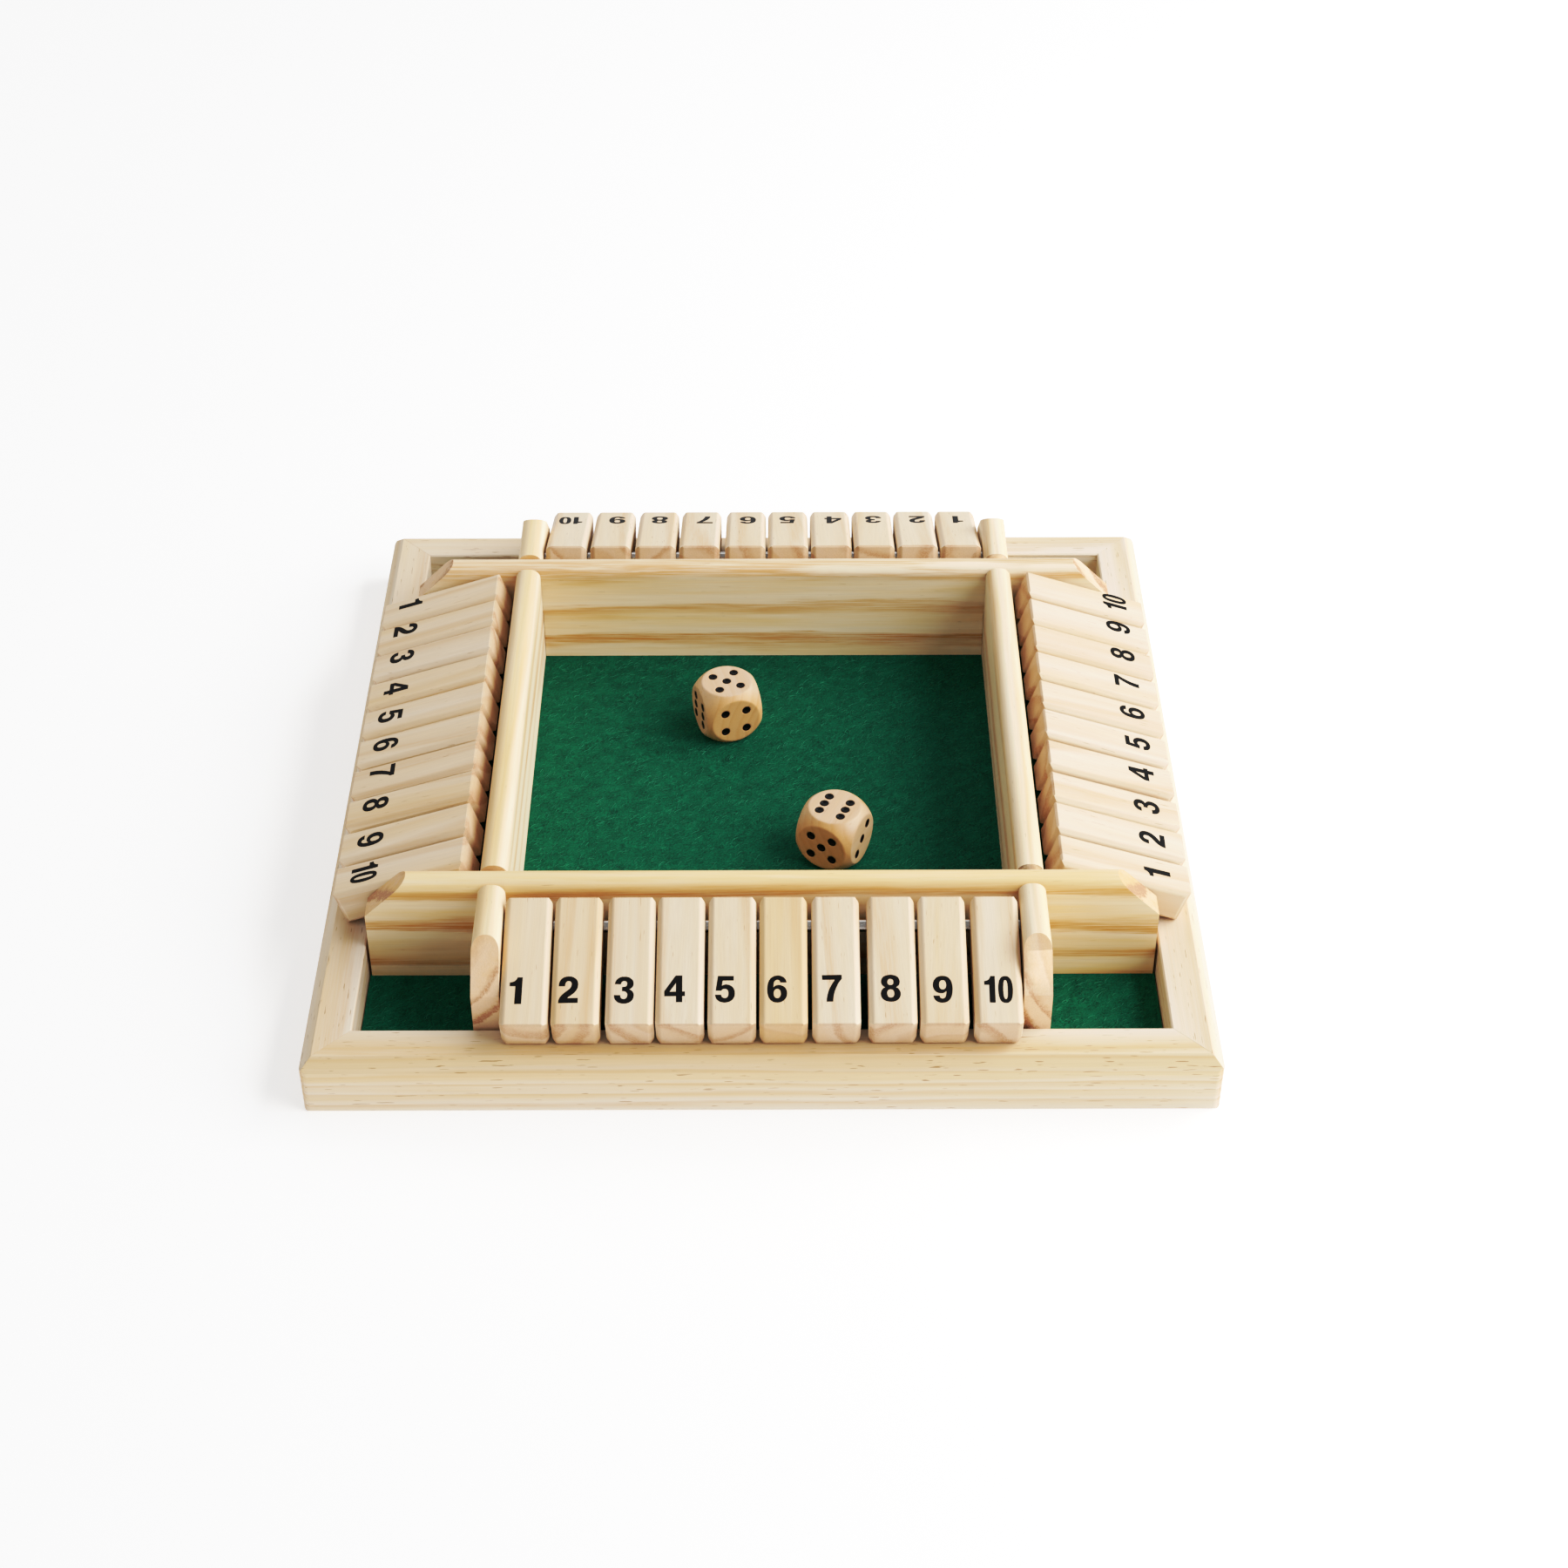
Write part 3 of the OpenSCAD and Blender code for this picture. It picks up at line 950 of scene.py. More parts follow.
class Numerals:
    """Bold upright figures, drawn as closed outlines in thousandths of their height.

    A pair of numbers is a corner, and six numbers are a curve: its two handles and its end.
    """

    UNITS = 1000

    ONE: Outline = [(190, 0), (420, 0), (420, 1000), (250, 1000), (220, 880, 130, 810, 0, 810),
                    (0, 665), (190, 665)]
    TWO: Outline = [(0, 0), (655, 0), (655, 185), (305, 185), (360, 270, 660, 380, 660, 690),
                    (660, 880, 530, 1000, 335, 1000), (130, 1000, 10, 870, 10, 630), (220, 630),
                    (220, 750, 260, 825, 335, 825), (400, 825, 440, 780, 440, 700),
                    (440, 580, 360, 510, 230, 410), (80, 290, 0, 180, 0, 0)]
    THREE: Outline = [(0, 300), (0, 110, 130, -15, 330, -15), (530, -15, 665, 110, 665, 290),
                      (665, 410, 600, 490, 500, 525), (585, 565, 640, 640, 640, 740),
                      (640, 900, 510, 1000, 330, 1000), (150, 1000, 20, 895, 15, 710), (215, 710),
                      (220, 785, 260, 830, 330, 830), (390, 830, 425, 790, 425, 730),
                      (425, 640, 370, 610, 260, 610), (260, 455), (385, 455, 445, 410, 445, 305),
                      (445, 210, 400, 160, 330, 160), (250, 160, 210, 215, 210, 300)]
    FOUR: Outline = [(390, 0), (600, 0), (600, 225), (690, 225), (690, 395), (600, 395), (600, 1000),
                     (380, 1000), (0, 420), (0, 225), (390, 225)]
    FOUR_EYE: Outline = [(390, 395), (175, 395), (390, 720)]
    FIVE: Outline = [(0, 280), (10, 100, 140, -15, 325, -15), (530, -15, 665, 130, 665, 335),
                     (665, 530, 540, 665, 375, 665), (310, 665, 260, 645, 225, 615), (250, 810),
                     (620, 810), (620, 985), (90, 985), (20, 430), (205, 430),
                     (230, 475, 270, 500, 325, 500), (405, 500, 450, 430, 450, 330),
                     (450, 220, 405, 155, 325, 155), (255, 155, 215, 200, 205, 280)]
    SIX: Outline = [(650, 735), (630, 900, 515, 1000, 345, 1000), (120, 1000, 0, 800, 0, 475),
                    (0, 160, 110, -15, 335, -15), (530, -15, 665, 130, 665, 335),
                    (665, 520, 550, 645, 385, 645), (310, 645, 250, 615, 210, 555),
                    (210, 750, 255, 840, 345, 840), (400, 840, 430, 805, 440, 735)]
    SIX_EYE: Outline = oval(335, 500, 325, 150, 120, 80, 95)
    SEVEN: Outline = [(130, 0), (350, 0), (360, 300, 470, 620, 660, 850), (660, 1000), (0, 1000),
                      (0, 820), (430, 820), (250, 570, 140, 300, 130, 0)]
    EIGHT: Outline = [(333, 1000), (140, 1000, 20, 900, 20, 740), (20, 645, 70, 570, 155, 530),
                      (55, 490, 0, 400, 0, 285), (0, 105, 130, -15, 333, -15),
                      (536, -15, 666, 105, 666, 285), (666, 400, 611, 490, 511, 530),
                      (596, 570, 646, 645, 646, 740), (646, 900, 526, 1000, 333, 1000)]
    EIGHT_HIGH_EYE: Outline = oval(333, 845, 725, 610, 103, 68, 75)
    EIGHT_LOW_EYE: Outline = oval(333, 455, 300, 145, 118, 78, 95)
    NOUGHT: Outline = oval(245, 1000, 492.5, -15, 245, 175, 327.5)
    NOUGHT_EYE: Outline = oval(245, 850, 492.5, 135, 75, 60, 227.5)
    NINE_CORNER = (665, 985)
    NARROW = 0.86
    PAIR_GAP = 0.10
    CURVE_STEPS = 7

    @classmethod
    def flat(cls, outline: Outline) -> np.ndarray:
        """Follows an outline.

        Args:
            outline: Corners and curves.

        Returns:
            Its points, without a repeat at the end.
        """
        points = [np.array(outline[0]) / cls.UNITS]
        for step in outline[1:]:
            start, (*handles, end) = points[-1], np.array(step).reshape(-1, 2) / cls.UNITS
            if not handles:
                points.append(end)
                continue
            a, b = handles
            for i in range(1, cls.CURVE_STEPS + 1):
                t = i / cls.CURVE_STEPS
                points.append((1 - t) ** 3 * start + 3 * t * (1 - t) ** 2 * a
                              + 3 * t * t * (1 - t) * b + t ** 3 * end)
        if np.allclose(points[0], points[-1]):
            points.pop()
        return np.array(points)

    @classmethod
    def strokes(cls, number: int) -> list[list[np.ndarray]]:
        """The parts of a number, centred on the middle of its width.

        Args:
            number: From 1 to 10.

        Returns:
            For each part its outer loop, then the loops of its eyes.
        """
        digits = {1: [cls.ONE], 2: [cls.TWO], 3: [cls.THREE], 4: [cls.FOUR, cls.FOUR_EYE],
                  5: [cls.FIVE], 6: [cls.SIX, cls.SIX_EYE], 7: [cls.SEVEN],
                  8: [cls.EIGHT, cls.EIGHT_HIGH_EYE, cls.EIGHT_LOW_EYE]}
        half_turn = np.array([[-1, 0], [0, -1]])
        if number == 10:
            one = cls.flat(cls.ONE) * (cls.NARROW, 1)
            nought = [cls.flat(loop) + (one[:, 0].max() + cls.PAIR_GAP, 0)
                      for loop in (cls.NOUGHT, cls.NOUGHT_EYE)]
            parts = [[one], nought]
        elif number == 9:
            corner = np.array(cls.NINE_CORNER) / cls.UNITS
            parts = [[cls.flat(loop) @ half_turn + corner for loop in digits[6]]]
        else:
            parts = [[cls.flat(loop) for loop in digits[number]]]
        right = max(part[0][:, 0].max() for part in parts)
        return [[loop - (right / 2, 0.5) for loop in part] for part in parts]


@dataclass
class Print:
    """A number printed on a tile: a film of ink that stands just proud of the wood."""

    number: int
    height: float = 7.1
    proud: float = 0.025
    sunk: float = 0.06
    wobble: float = 0.035
    wobble_pitch: float = 1.3
    wobble_change: float = 6.0
    wobble_apart: float = 50.0
    weld: float = 0.0005

    def mesh(self, name: str, place: Matrix) -> bpy.types.Mesh:
        """The closed film.

        Args:
            name: The mesh's name.
            place: From millimetres on the page, with z towards the reader, to the frame.

        Returns:
            The mesh.
        """
        work = bmesh.new()
        for part in Numerals.strokes(self.number):
            self._add_part(work, [[self._inked(p * self.height) for p in loop] for loop in part])
        bmesh.ops.remove_doubles(work, verts=work.verts, dist=self.weld)
        bmesh.ops.recalc_face_normals(work, faces=work.faces)
        bmesh.ops.transform(work, matrix=place, verts=work.verts)
        return freed(work, name)

    def _inked(self, point: np.ndarray) -> Vector:
        """Moves a point of the outline as ink spreads in the fibres.

        Args:
            point: The point, in millimetres on the page.

        Returns:
            The point where the ink ends.
        """
        x, y = point
        place = Vector((x, y, self.number * self.wobble_change)) * self.wobble_pitch
        aside = noise.noise(place + Vector((self.wobble_apart, 0, 0))) * self.wobble
        up = noise.noise(place + Vector((0, 0, self.wobble_apart))) * self.wobble
        return Vector((x + aside, y + up, 0))

    def _add_part(self, work: bmesh.types.BMesh, loops: list[list[Vector]]) -> None:
        """Adds the face, back and walls of one part.

        Args:
            work: The mesh so far.
            loops: Its outer loop and eyes.
        """
        corners = [p for loop in loops for p in loop]
        rows = [[work.verts.new((p.x, p.y, z)) for p in corners] for z in (self.proud, -self.sunk)]
        for triangle in tessellate_polygon(loops):
            for row in rows:
                work.faces.new([row[i] for i in triangle])
        start = 0
        for loop in loops:
            for i in range(len(loop)):
                a, b = start + i, start + (i + 1) % len(loop)
                work.faces.new([rows[0][a], rows[0][b], rows[1][b], rows[1][a]])
            start += len(loop)


@dataclass
class TileRow:
    """Ten numbered tiles of one side."""

    side: Side
    tones: tuple[float, ...]
    drifts: tuple[float, ...]
    bottom: float = 4.6
    ease: float = 0.3
    wide: float = 0.4
    rounds: int = 3
    ink: Paint = Paint("tile_ink")
    tilt: float = 1.6
    slip: float = 0.25

    def build(self) -> None:
        """Makes the tiles and their numbers."""
        for number, (tone, drift) in enumerate(zip(self.tones, self.drifts), start=1):
            node = f"tile_{self.side.word}_{number:02d}"
            cut = Cut(f"{node} pine", tone, ring_width=7.0, nearest_pith=12, farthest_pith=34,
                      steepest=3.5)
            WoodPiece(node, node, "tile_pine", TILE_PINE, cut, self.ease, self.rounds,
                      self.wide).build()
            self._print(node, number, drift)

    def _print(self, node: str, number: int, drift: float) -> None:
        """Prints one number.

        Args:
            node: The tile's node and body.
            number: What it says.
            drift: How far right of the middle it was printed.
        """
        axes = Axes.of(node, outward=True)
        spots = np.array([v.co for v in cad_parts[node].data.vertices])
        reach = axes.local(spots).max(axis=0)
        draw = random.Random(f"{node} print")
        figure = Print(number)
        level = reach[0] - self.bottom - figure.height / 2 + draw.uniform(-self.slip, self.slip)
        middle = axes.to_frame(np.array((level, drift, reach[2])))
        page = Matrix((axes.across, -axes.along, axes.up)).transposed().to_4x4()
        turn = Matrix.Rotation(math.radians(draw.uniform(-self.tilt, self.tilt)), 4, "Z")
        place = Matrix.Translation(middle) @ page @ turn @ Matrix.Scale(MM, 4)
        ink = new_object(f"{node}_number", figure.mesh(f"{node}_number", place))
        ink.data.materials.append(self.ink.material)
        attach(ink, node)
        log.info("%s: the number %d, rides %s", ink.name, number, node)


@dataclass
class Die:
    """One wooden die, with a painted dish for each pip."""

    node: str
    turn: float
    faces: tuple[tuple[int, int], ...]
    tone: float
    size: float = 16.0
    flat: float = 13.6
    blend: float = 0.16
    pip: float = 2.3
    pip_depth: float = 0.5
    pip_pitch: float = 3.0
    pip_rim: float = 0.12
    pip_reach: float = 1.0
    film: float = 0.08
    cells: int = 64
    crowding: float = 0.98
    ink: Paint = Paint("pip_paint", worn=(0.030, 0.018, 0.012, 1), roughness=0.34)

    PIPS = {1: [(0, 0)], 2: [(-1, -1), (1, 1)], 3: [(-1, -1), (0, 0), (1, 1)],
            4: [(-1, -1), (-1, 1), (1, -1), (1, 1)],
            5: [(-1, -1), (-1, 1), (0, 0), (1, -1), (1, 1)],
            6: [(-1, -1), (-1, 0), (-1, 1), (1, -1), (1, 0), (1, 1)]}
    TURNS = ((0, "X"), (90, "X"), (90, "Y"), (-90, "X"), (-90, "Y"), (180, "X"))

    @property
    def place(self) -> Matrix:
        """From the die's own axes to the frame."""
        low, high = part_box(self.node)
        return Matrix.Translation((low + high) / 2) @ Matrix.Rotation(math.radians(self.turn), 4, "Z")

    def pips(self) -> list[tuple[Vector, Vector]]:
        """Finds the pips of all six faces.

        Returns:
            The middle of each, in the die's own millimetres, and the way it faces.
        """
        found = []
        for (degrees, axis), (count, quarters) in zip(self.TURNS, self.faces):
            turn = Matrix.Rotation(math.radians(degrees), 3, axis)
            turn = turn @ Matrix.Rotation(math.radians(90 * quarters), 3, "Z")
            for x, y in self.PIPS[count]:
                spot = Vector((x * self.pip_pitch, y * self.pip_pitch, self.size / 2))
                found.append((turn @ spot, turn @ UP))
        return found

    def build(self) -> None:
        """Makes the wood and the paint."""
        body = new_object(f"{self.node}_wood", self._wood())
        turn = self.place.to_3x3()
        axes = Axes(self.place.to_translation(), turn @ Vector((0, 1, 0)),
                    turn @ Vector((-1, 0, 0)), UP)
        Cut(f"{self.node} beech", self.tone, ring_width=2.6, nearest_pith=10, farthest_pith=30,
            steepest=6).write(body, axes)
        body.data.materials.append(DICE_BEECH.material)
        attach(body, self.node)
        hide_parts(self.node)
        paint = self._paint()
        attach(paint, self.node)
        log.info("%s and %s: ride %s", body.name, paint.name, self.node)

    def _wood(self) -> bpy.types.Mesh:
        """A cube met by a ball, with the edge between them worn and a hollow for each pip.

        Returns:
            The mesh, in the frame.
        """
        work = bmesh.new()
        bmesh.ops.create_cube(work, size=2.0)
        bmesh.ops.subdivide_edges(work, edges=work.edges, cuts=self.cells - 1, use_grid_fill=True)
        grid = np.array([v.co for v in work.verts])
        quarter = math.pi / 4 * self.crowding
        grid = np.tan(grid * quarter) / math.tan(quarter)
        ways = grid / np.linalg.norm(grid, axis=1, keepdims=True)
        half = self.size / 2
        ball = math.hypot(half, self.flat / 2)
        cube = half / np.abs(ways).max(axis=1)
        gap = np.clip((cube - ball) / self.blend * 0.5 + 0.5, 0, 1)
        reach = cube * (1 - gap) + ball * gap - self.blend * gap * (1 - gap)
        spots = ways * reach[:, None]
        for middle, facing in self.pips():
            normal = np.array(facing)
            offset = spots - np.array(middle)
            height = offset @ normal
            aside = np.linalg.norm(offset - np.outer(height, normal), axis=1)
            share = np.clip(1 - (aside / (self.pip / 2 + self.pip_rim)) ** 2, 0, 1)
            share = np.where(np.abs(height) < self.pip_reach, share, 0)
            spots -= np.outer(share * (self.pip_depth + self.pip_rim), normal)
        place = np.array(self.place)
        for vertex, spot in zip(work.verts, spots * MM @ place[:3, :3].T + place[:3, 3]):
            vertex.co = spot
        mesh = freed(work, f"{self.node}_wood")
        mesh.shade_smooth()
        return mesh

    def _paint(self) -> bpy.types.Object:
        """The painted dishes, one instance on each pip.

        Returns:
            The object that holds them all.
        """
        pips = self.pips()
        place = self.place
        turn = place.to_3x3()
        points = np.array([place @ (middle * MM) for middle, _ in pips])
        host = new_object(f"{self.node}_pips", new_mesh(f"{self.node}_pips", points, []))
        write_attribute(host.data, "facing", "FLOAT_VECTOR", "POINT",
                        np.array([turn @ facing for _, facing in pips]))
        pip_recipe().cook(host, Radius=self.pip / 2 * MM, Depth=(self.pip_depth - self.film) * MM,
                          Film=self.film * MM, Material=self.ink.material)
        host.data.shade_smooth()
        return host


def pip_recipe() -> Recipe:
    """A dish of paint on each point, facing as the point's attribute says.

    Returns:
        The tree.
    """
    recipe = Recipe("painted pips")
    given = recipe.entries(Radius="NodeSocketFloat", Depth="NodeSocketFloat", Film="NodeSocketFloat",
                           Material="NodeSocketMaterial")
    disc = recipe.node("GeometryNodeMeshCylinder", {"fill_type": "TRIANGLE_FAN"},
                       {"Vertices": PIP_SIDES, "Side Segments": 1, "Fill Segments": PIP_RINGS,
                        "Radius": given["Radius"], "Depth": given["Film"]})
    x, y, _ = recipe.parts(recipe.node("GeometryNodeInputPosition"))
    share = 1 - (x * x + y * y) / (given["Radius"] * given["Radius"])
    drop = recipe.point(0, 0, share * given["Depth"] * -1.0 - given["Film"] * 0.3)
    dish = recipe.node("GeometryNodeSetPosition", None, {0: disc, "Offset": drop})
    facing = recipe.node("GeometryNodeInputNamedAttribute", {"data_type": "FLOAT_VECTOR"},
                         {"Name": "facing"})
    turn = recipe.node("FunctionNodeAlignRotationToVector", {"axis": "Z"}, {"Vector": facing})
    points = recipe.node("GeometryNodeMeshToPoints", None, {0: given["Geometry"]})
    dishes = recipe.node("GeometryNodeInstanceOnPoints", None,
                         {0: points, "Instance": dish, "Rotation": turn})
    recipe.serve(dishes, given["Material"])
    return recipe


@dataclass(frozen=True)
class Patch:
    """A level oblong where the felt shows, in metres."""

    left: float
    near: float
    right: float
    far: float

    def inside(self, margin: float) -> "Patch":
        """The same patch, smaller all round."""
        return Patch(self.left + margin, self.near + margin, self.right - margin, self.far - margin)

    def holds(self, x: np.ndarray, y: np.ndarray) -> np.ndarray:
        """How far inside the patch points are, in metres, below 0 outside."""
        return np.minimum(np.minimum(x - self.left, self.right - x),
                          np.minimum(y - self.near, self.far - y))


@dataclass
class FeltFloor:
    """The felt over the floor, and the fibres that stand up from it where nothing presses it."""

    finish: Felt = Felt()
    cells: int = 190
    lumps: float = 0.05
    lumps_per_metre: float = 260.0
    lump_slice: float = 3.1
    lump_noise: tuple[float, float, int] = (0.8, 2.0, 3)
    pressed: float = 0.01
    press_width: float = 1.2
    fibre_length: float = 2.4
    fibre_thickness: float = 0.12
    fibre_lift: float = 0.05
    fibres_per_mm2: float = 0.6
    nap_spread: float = 42.0
    margin: float = 0.9

    def __post_init__(self) -> None:
        """Finds the patches between the boards and the rails."""
        self.low, self.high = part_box("felt")
        board_low, board_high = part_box("divider_front")
        inner = -board_high.y
        outer = -board_low.y
        edge = self.high.x
        spans = [(-edge, -outer), (-inner, inner), (outer, edge)]
        self.patches = [Patch(a, c, b, d) for a, b in spans for c, d in spans]
        self.tray = self.patches[4]

    def build(self) -> None:
        """Makes the cloth and its fibres."""
        cloth = new_object("felt_cloth", self._cloth())
        cloth.data.materials.append(self.finish.material)
        cloth.data.shade_smooth()
        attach(cloth, TRAY_BODY)
        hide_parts("felt")
        tray = self._fibres("felt_fibres_tray", [self.tray], seed=5)
        others = [p for p in self.patches if p is not self.tray]
        wells = self._fibres("felt_fibres_wells", others, seed=11)
        log.info("%s: %d faces, with %s and %s", cloth.name, len(cloth.data.polygons), tray.name,
                 wells.name)

    def _top(self, x: np.ndarray, y: np.ndarray) -> np.ndarray:
        """The height of the cloth's face: level under the boards, lumpy where it is free.

        Args:
            x: How far right the points are.
            y: How far back they are.

        Returns:
            Their heights.
        """
        free = np.max([p.holds(x, y) for p in self.patches], axis=0) / (self.press_width * MM)
        free = np.clip(free, 0, 1) ** 2 * (3 - 2 * np.clip(free, 0, 1))
        lump = np.array([noise.fractal(Vector((a, b, self.lump_slice)), *self.lump_noise)
                         for a, b in np.column_stack([x, y]) * self.lumps_per_metre])
        return self.high.z + (free * lump * self.lumps - self.pressed * (1 - free)) * MM

    def _cloth(self) -> bpy.types.Mesh:
        """A closed sheet with a fine grid on its face.

        Returns:
            The mesh.
        """
        count = self.cells + 1
        steps = np.linspace(0, 1, count)
        x, y = (a.ravel() for a in np.meshgrid(self.low.x + steps * (self.high.x - self.low.x),
                                               self.low.y + steps * (self.high.y - self.low.y)))
        face = np.column_stack([x, y, self._top(x, y)])
        corners = [0, count - 1, count * count - 1, count * count - count]
        base = np.array([(face[c][0], face[c][1], self.low.z) for c in corners])
        points = np.vstack([face, base])
        quads = [(r * count + c, r * count + c + 1, (r + 1) * count + c + 1, (r + 1) * count + c)
                 for r in range(self.cells) for c in range(self.cells)]
        first = count * count
        near = [first + 1, first] + list(range(count))
        right = [first + 2, first + 1] + [r * count + count - 1 for r in range(count)]
        far = [first + 3, first + 2] + [count * count - 1 - c for c in range(count)]
        left = [first, first + 3] + [(count - 1 - r) * count for r in range(count)]
        floor = [first + 3, first + 2, first + 1, first]
        return new_mesh("felt_cloth", points, quads + [near, right, far, left, floor])

    def _fibres(self, name: str, patches: list[Patch], seed: int) -> bpy.types.Object:
        """Loose fibres over some patches.

        Args:
            name: The object's name.
            patches: Where they lie.
            seed: The seed of their places.

        Returns:
            The object.
        """
        points, faces = [], []
        for patch in (p.inside(self.margin * MM) for p in patches):
            faces.append(tuple(range(len(points), len(points) + 4)))
            points += [(patch.left, patch.near, self.high.z), (patch.right, patch.near, self.high.z),
                       (patch.right, patch.far, self.high.z), (patch.left, patch.far, self.high.z)]
        host = new_object(name, new_mesh(name, np.array(points), faces))
        fibre_recipe(seed).cook(
            host, Density=self.fibres_per_mm2 / MM ** 2, Length=self.fibre_length * MM,
            Thickness=self.fibre_thickness * MM, Lift=self.fibre_lift * MM,
            Nap=math.radians(self.finish.nap_turn), Spread=math.radians(self.nap_spread),
            Material=self.finish.fibre_material)
        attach(host, TRAY_BODY)
        return host


def fibre_recipe(seed: int) -> Recipe:
    """Bent, pointed fibres scattered over faces, most of them along the nap.

    Args:
        seed: The seed of everything random.

    Returns:
        The tree.
    """
    recipe = Recipe(f"felt fibres {seed}")
    given = recipe.entries(Density="NodeSocketFloat", Length="NodeSocketFloat",
                           Thickness="NodeSocketFloat", Lift="NodeSocketFloat", Nap="NodeSocketFloat",
                           Spread="NodeSocketFloat", Material="NodeSocketMaterial")

    def chance(low: float, high: float, step: int) -> Wire:
        """A random number for each fibre."""
        return recipe.node("FunctionNodeRandomValue", {"data_type": "FLOAT"},
                           {2: low, 3: high, "Seed": seed + step}, 1)

    points = recipe.node("GeometryNodeDistributePointsOnFaces", {"distribute_method": "RANDOM"},
                         {0: given["Geometry"], "Density": given["Density"], "Seed": seed})
    root = recipe.point(given["Length"] * -0.5, 0, given["Lift"] * -1.6)
    bend = recipe.point(0, given["Length"] * 0.22, given["Lift"] * 1.8)
    tip = recipe.point(given["Length"] * 0.5, 0, given["Lift"] * -0.4)
    path = recipe.node("GeometryNodeCurveQuadraticBezier", None,
                       {"Resolution": FIBRE_STEPS, "Start": root, "Middle": bend, "End": tip})
    ring = recipe.node("GeometryNodeCurvePrimitiveCircle", None,
                       {"Resolution": FIBRE_SIDES, "Radius": given["Thickness"] * 0.5})
    along = recipe.node("GeometryNodeSplineParameter")
    taper = 1 - recipe.maths("ABSOLUTE", along * 2.0 - 1.0) * 0.85
    fibre = recipe.node("GeometryNodeCurveToMesh", None,
                        {0: path, 1: ring, "Scale": taper, "Fill Caps": True})
    heading = given["Nap"] + given["Spread"] * (chance(-1, 1, 1) + chance(-1, 1, 2)) * 0.6
    tilt = recipe.point(chance(-0.3, 0.3, 3), chance(-0.02, 0.03, 4), heading)
    turn = recipe.node("FunctionNodeEulerToRotation", None, {0: tilt})
    fibres = recipe.node("GeometryNodeInstanceOnPoints", None,
                         {0: points, "Instance": fibre, "Rotation": turn,
                          "Scale": recipe.grey(chance(0.5, 1.25, 5))})
    shaded = recipe.node("GeometryNodeStoreNamedAttribute",
                         {"data_type": "FLOAT", "domain": "INSTANCE"},
                         {0: fibres, "Name": "shade", "Value": chance(0, 1, 6)})
    recipe.serve(shaded, given["Material"])
    return recipe


@dataclass
class Ironwork:
    """The rods and pins, and the panel: CAD nodes of the right shape that get a better finish."""

    rod: Steel = Steel("hinge_rod_steel")
    pin: Steel = Steel("floor_pin_steel", roughness=0.32)
    panel: Hardboard = Hardboard()

    def dress(self) -> None:
        """Gives each node its material."""
        finishes = {f"rod_{side.word}": self.rod.material for side in Side}
        finishes["floor_pins"] = self.pin.material
        finishes["base_panel"] = self.panel.material
        for node, material in finishes.items():
            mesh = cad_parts[node].data
            for place in range(len(mesh.materials)):
                mesh.materials[place] = material
            log.info("%s: keeps its CAD shape in %s", node, material.name)


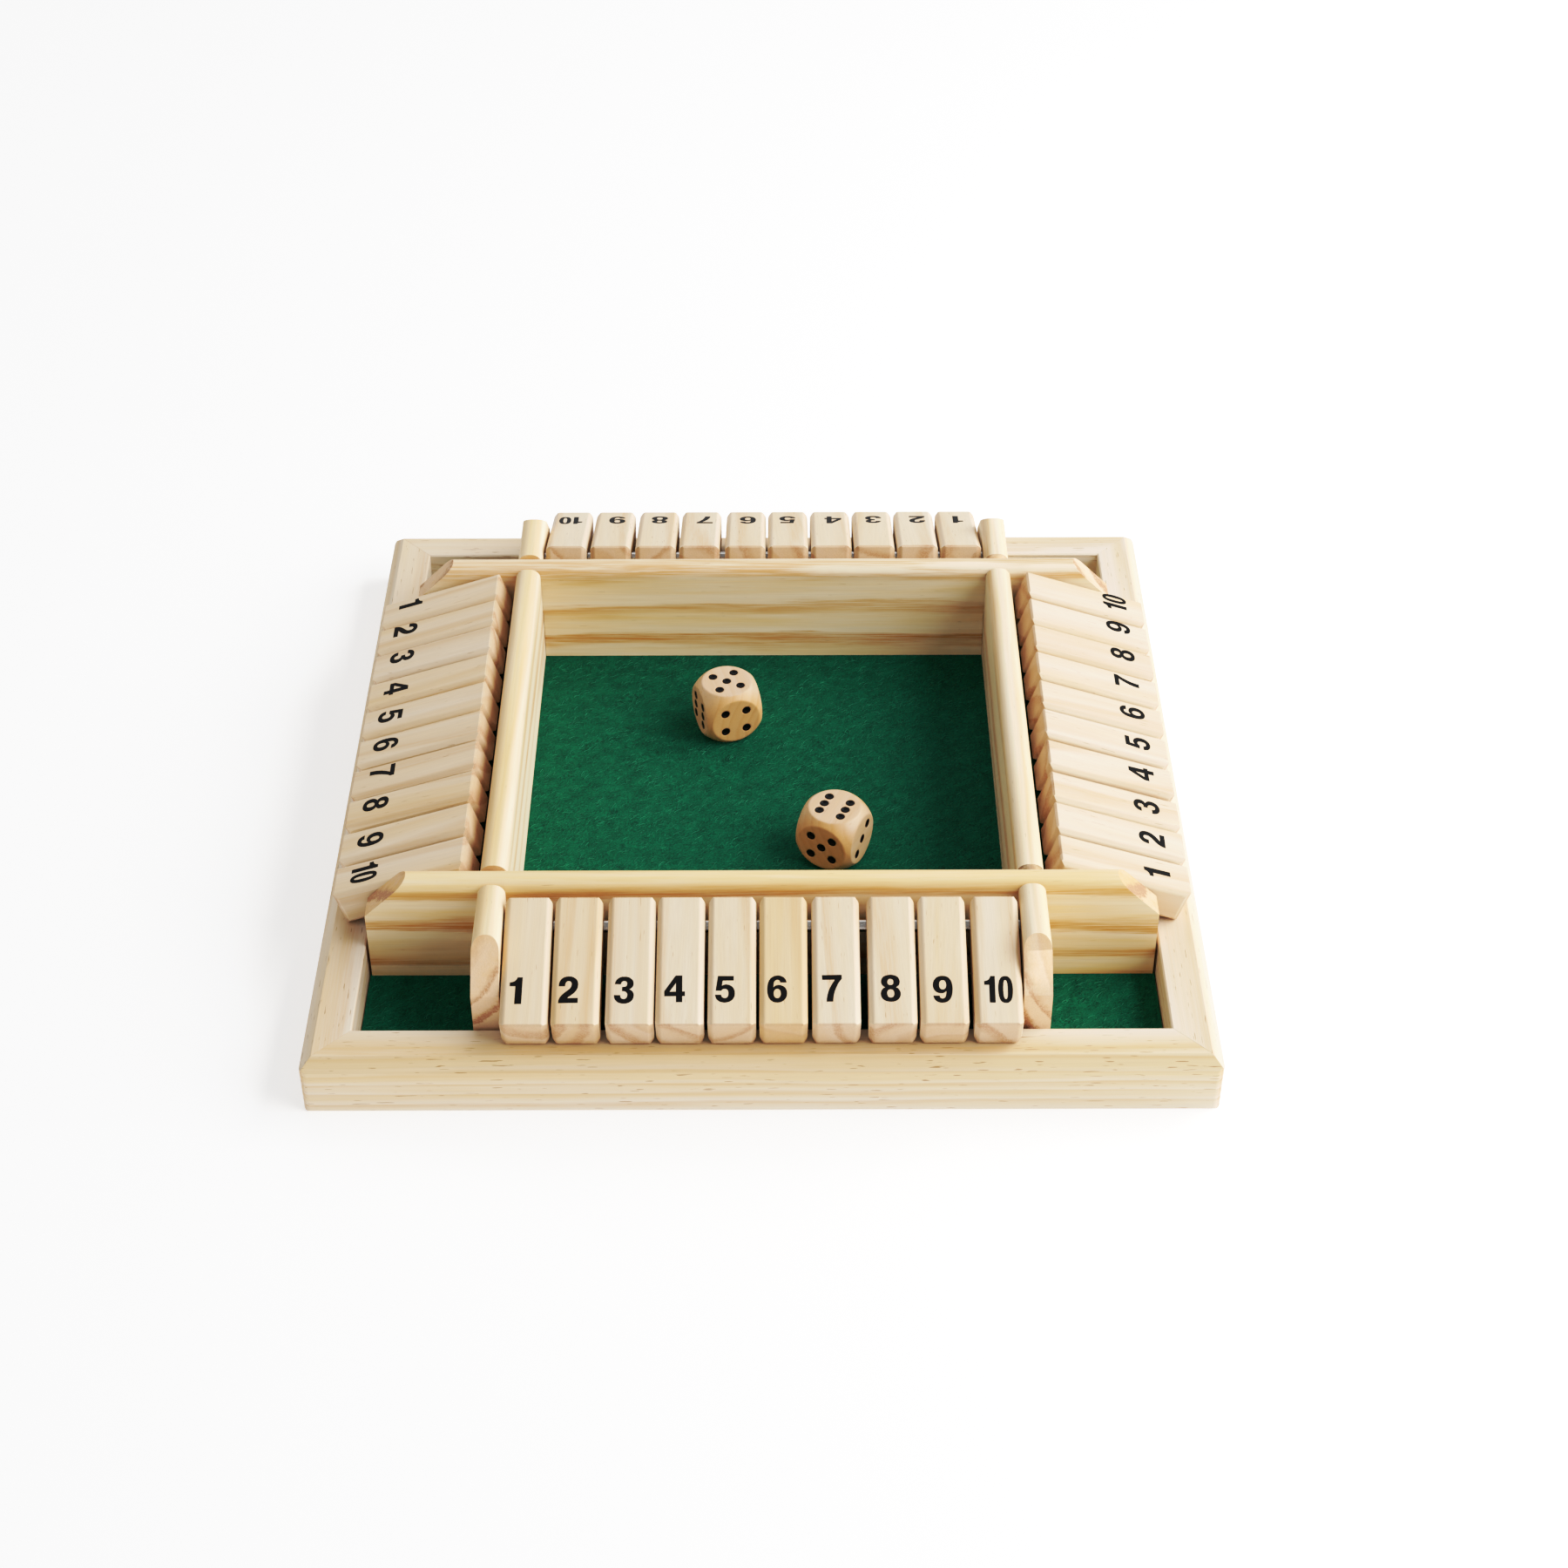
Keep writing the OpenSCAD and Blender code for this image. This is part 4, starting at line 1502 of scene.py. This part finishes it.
@dataclass
class Studio:
    """The camera at the photograph's view, soft lights and a pale floor."""

    camera_place: tuple[float, float, float] = (4.09, -569.95, 487.10)
    pitch: float = 39.154
    yaw: float = 0.153
    roll: float = -0.051
    focal: float = 3177.6
    middle_row: float = 857.25
    photo_width: float = 1800.0
    sensor: float = 36.0
    floor_half: float = 6000.0
    ambient: float = 0.315
    floor_glow: float = 0.39
    tones: tuple[tuple[float, float], ...] = ((0.0, 0.0), (0.08, 0.08), (0.18, 0.253), (0.3, 0.426),
                                              (0.45, 0.59), (0.6, 0.715), (0.8, 0.822), (1.0, 0.92),
                                              (1.25, 0.985))

    def build(self) -> None:
        """Makes everything that isn't the object."""
        self._camera()
        self._tones()
        self._world()
        self._lamp("key", azimuth=-4, height=39, reach=900, wide=1200, tall=680, power=11.6)
        self._lamp("back", azimuth=100, height=45, reach=1000, wide=900, tall=600, power=1.5)
        self._floor()

    def _camera(self) -> None:
        """The camera, with the little shift of the photograph's framing."""
        data = bpy.data.cameras.new("camera")
        data.sensor_width = self.sensor
        data.lens = self.focal / self.photo_width * self.sensor
        data.shift_y = (self.middle_row - self.photo_width / 2) / self.photo_width
        data.clip_end = 100
        camera = bpy.data.objects.new("camera", data)
        turn = (Matrix.Rotation(-math.radians(self.yaw), 4, "Z")
                @ Matrix.Rotation(math.radians(90 - self.pitch), 4, "X")
                @ Matrix.Rotation(math.radians(self.roll), 4, "Z"))
        camera.matrix_world = Matrix.Translation(Vector(self.camera_place) * MM) @ turn
        bpy.context.scene.collection.objects.link(camera)
        bpy.context.scene.camera = camera

    def _tones(self) -> None:
        """The contrast of a catalogue photograph: deep, warm shadows and gentle highlights."""
        view = bpy.context.scene.view_settings
        view.view_transform = "Standard"
        view.look = "None"
        view.use_curve_mapping = True
        tones = view.curve_mapping
        tones.use_clip = False
        curve = tones.curves[COMBINED_CURVE]
        while len(curve.points) < len(self.tones):
            curve.points.new(1.0, 1.0)
        for point, place in zip(curve.points, self.tones):
            point.location = place
        tones.update()

    def _world(self) -> None:
        """Even white light from all round."""
        world = bpy.data.worlds.new("studio")
        world.use_nodes = True
        background = world.node_tree.nodes["Background"]
        background.inputs["Color"].default_value = (1, 1, 1, 1)
        background.inputs["Strength"].default_value = self.ambient
        bpy.context.scene.world = world

    @staticmethod
    def _lamp(name: str, azimuth: float, height: float, reach: float, wide: float, tall: float,
              power: float) -> None:
        """A soft box that faces the middle of the game.

        Args:
            name: The lamp's name.
            azimuth: Its direction seen from above, anticlockwise from the right-hand side.
            height: How high it stands, in degrees above the table.
            reach: Its distance from the game.
            wide: Its width.
            tall: Its height.
            power: Its power in watts.
        """
        data = bpy.data.lights.new(name, "AREA")
        data.shape = "RECTANGLE"
        data.size = wide * MM
        data.size_y = tall * MM
        data.energy = power
        lamp = bpy.data.objects.new(name, data)
        lift = Matrix.Rotation(math.radians(-height), 3, "Y")
        way = Matrix.Rotation(math.radians(azimuth), 3, "Z") @ lift @ Vector((1, 0, 0))
        place = Matrix.Translation(way * reach * MM)
        lamp.matrix_world = place @ way.to_track_quat("Z", "Y").to_matrix().to_4x4()
        bpy.context.scene.collection.objects.link(lamp)

    def _floor(self) -> None:
        """A plain pale floor."""
        half = self.floor_half * MM
        corners = np.array([(-half, -half, 0), (half, -half, 0), (half, half, 0), (-half, half, 0)])
        floor = new_object("floor", new_mesh("floor", corners, [(0, 1, 2, 3)]))
        sheet = Sheet("pale_floor")
        cloud = sheet.cloud(sheet.place(), (0.01, 0.01, 0.01), 2.0)
        floor.data.materials.append(sheet.finish(
            Base_Color=sheet.mix(cloud, (0.93, 0.93, 0.93, 1), (0.95, 0.95, 0.95, 1)),
            Roughness=0.9, Specular_IOR_Level=0.1,
            Emission_Color=(1, 1, 1, 1), Emission_Strength=self.floor_glow))


ROWS = (
    TileRow(Side.FRONT, (0.30, 0.50, 0.10, 0.15, 0.25, 0.75, 0.05, 0.15, 0.30, 0.10),
            (-2.0, -1.7, -1.3, -1.2, -1.6, -1.5, -1.0, -0.5, -0.4, 0.0), bottom=6.0),
    TileRow(Side.RIGHT, (0.15, 0.05, 0.25, 0.10, 0.05, 0.20, 0.10, 0.15, 0.05, 0.20),
            (-0.9, -0.3, 0.1, 0.4, 0.3, 0.8, 1.4, 1.7, 2.1, 1.2), bottom=5.3),
    TileRow(Side.REAR, (0.25, 0.15, 0.30, 0.20, 0.35, 0.30, 0.20, 0.15, 0.30, 0.10),
            (-0.6, -1.0, -0.4, -0.9, 0.1, -0.5, -1.1, -0.3, -0.7, 0.3), bottom=5.2),
    TileRow(Side.LEFT, (0.30, 0.25, 0.15, 0.35, 0.20, 0.30, 0.25, 0.45, 0.30, 0.20),
            (-2.1, -2.1, -1.7, -0.3, -0.5, -0.8, -1.7, -1.2, -0.1, -0.5), bottom=4.7))

DICE = (
    Die("die_far", 19.0, ((5, 0), (4, 0), (1, 0), (3, 0), (6, 1), (2, 0)), 0.35),
    Die("die_near", -26.5, ((6, 0), (5, 0), (3, 1), (2, 0), (4, 0), (1, 0)), 0.45))


def main() -> None:
    """Builds the sub-assemblies in order."""
    logging.basicConfig(level=logging.INFO, format="%(name)s: %(message)s")
    Studio().build()
    Carcase().build()
    for row in ROWS:
        row.build()
    for die in DICE:
        die.build()
    FeltFloor().build()
    Ironwork().dress()


if __name__ == "__main__":
    main()
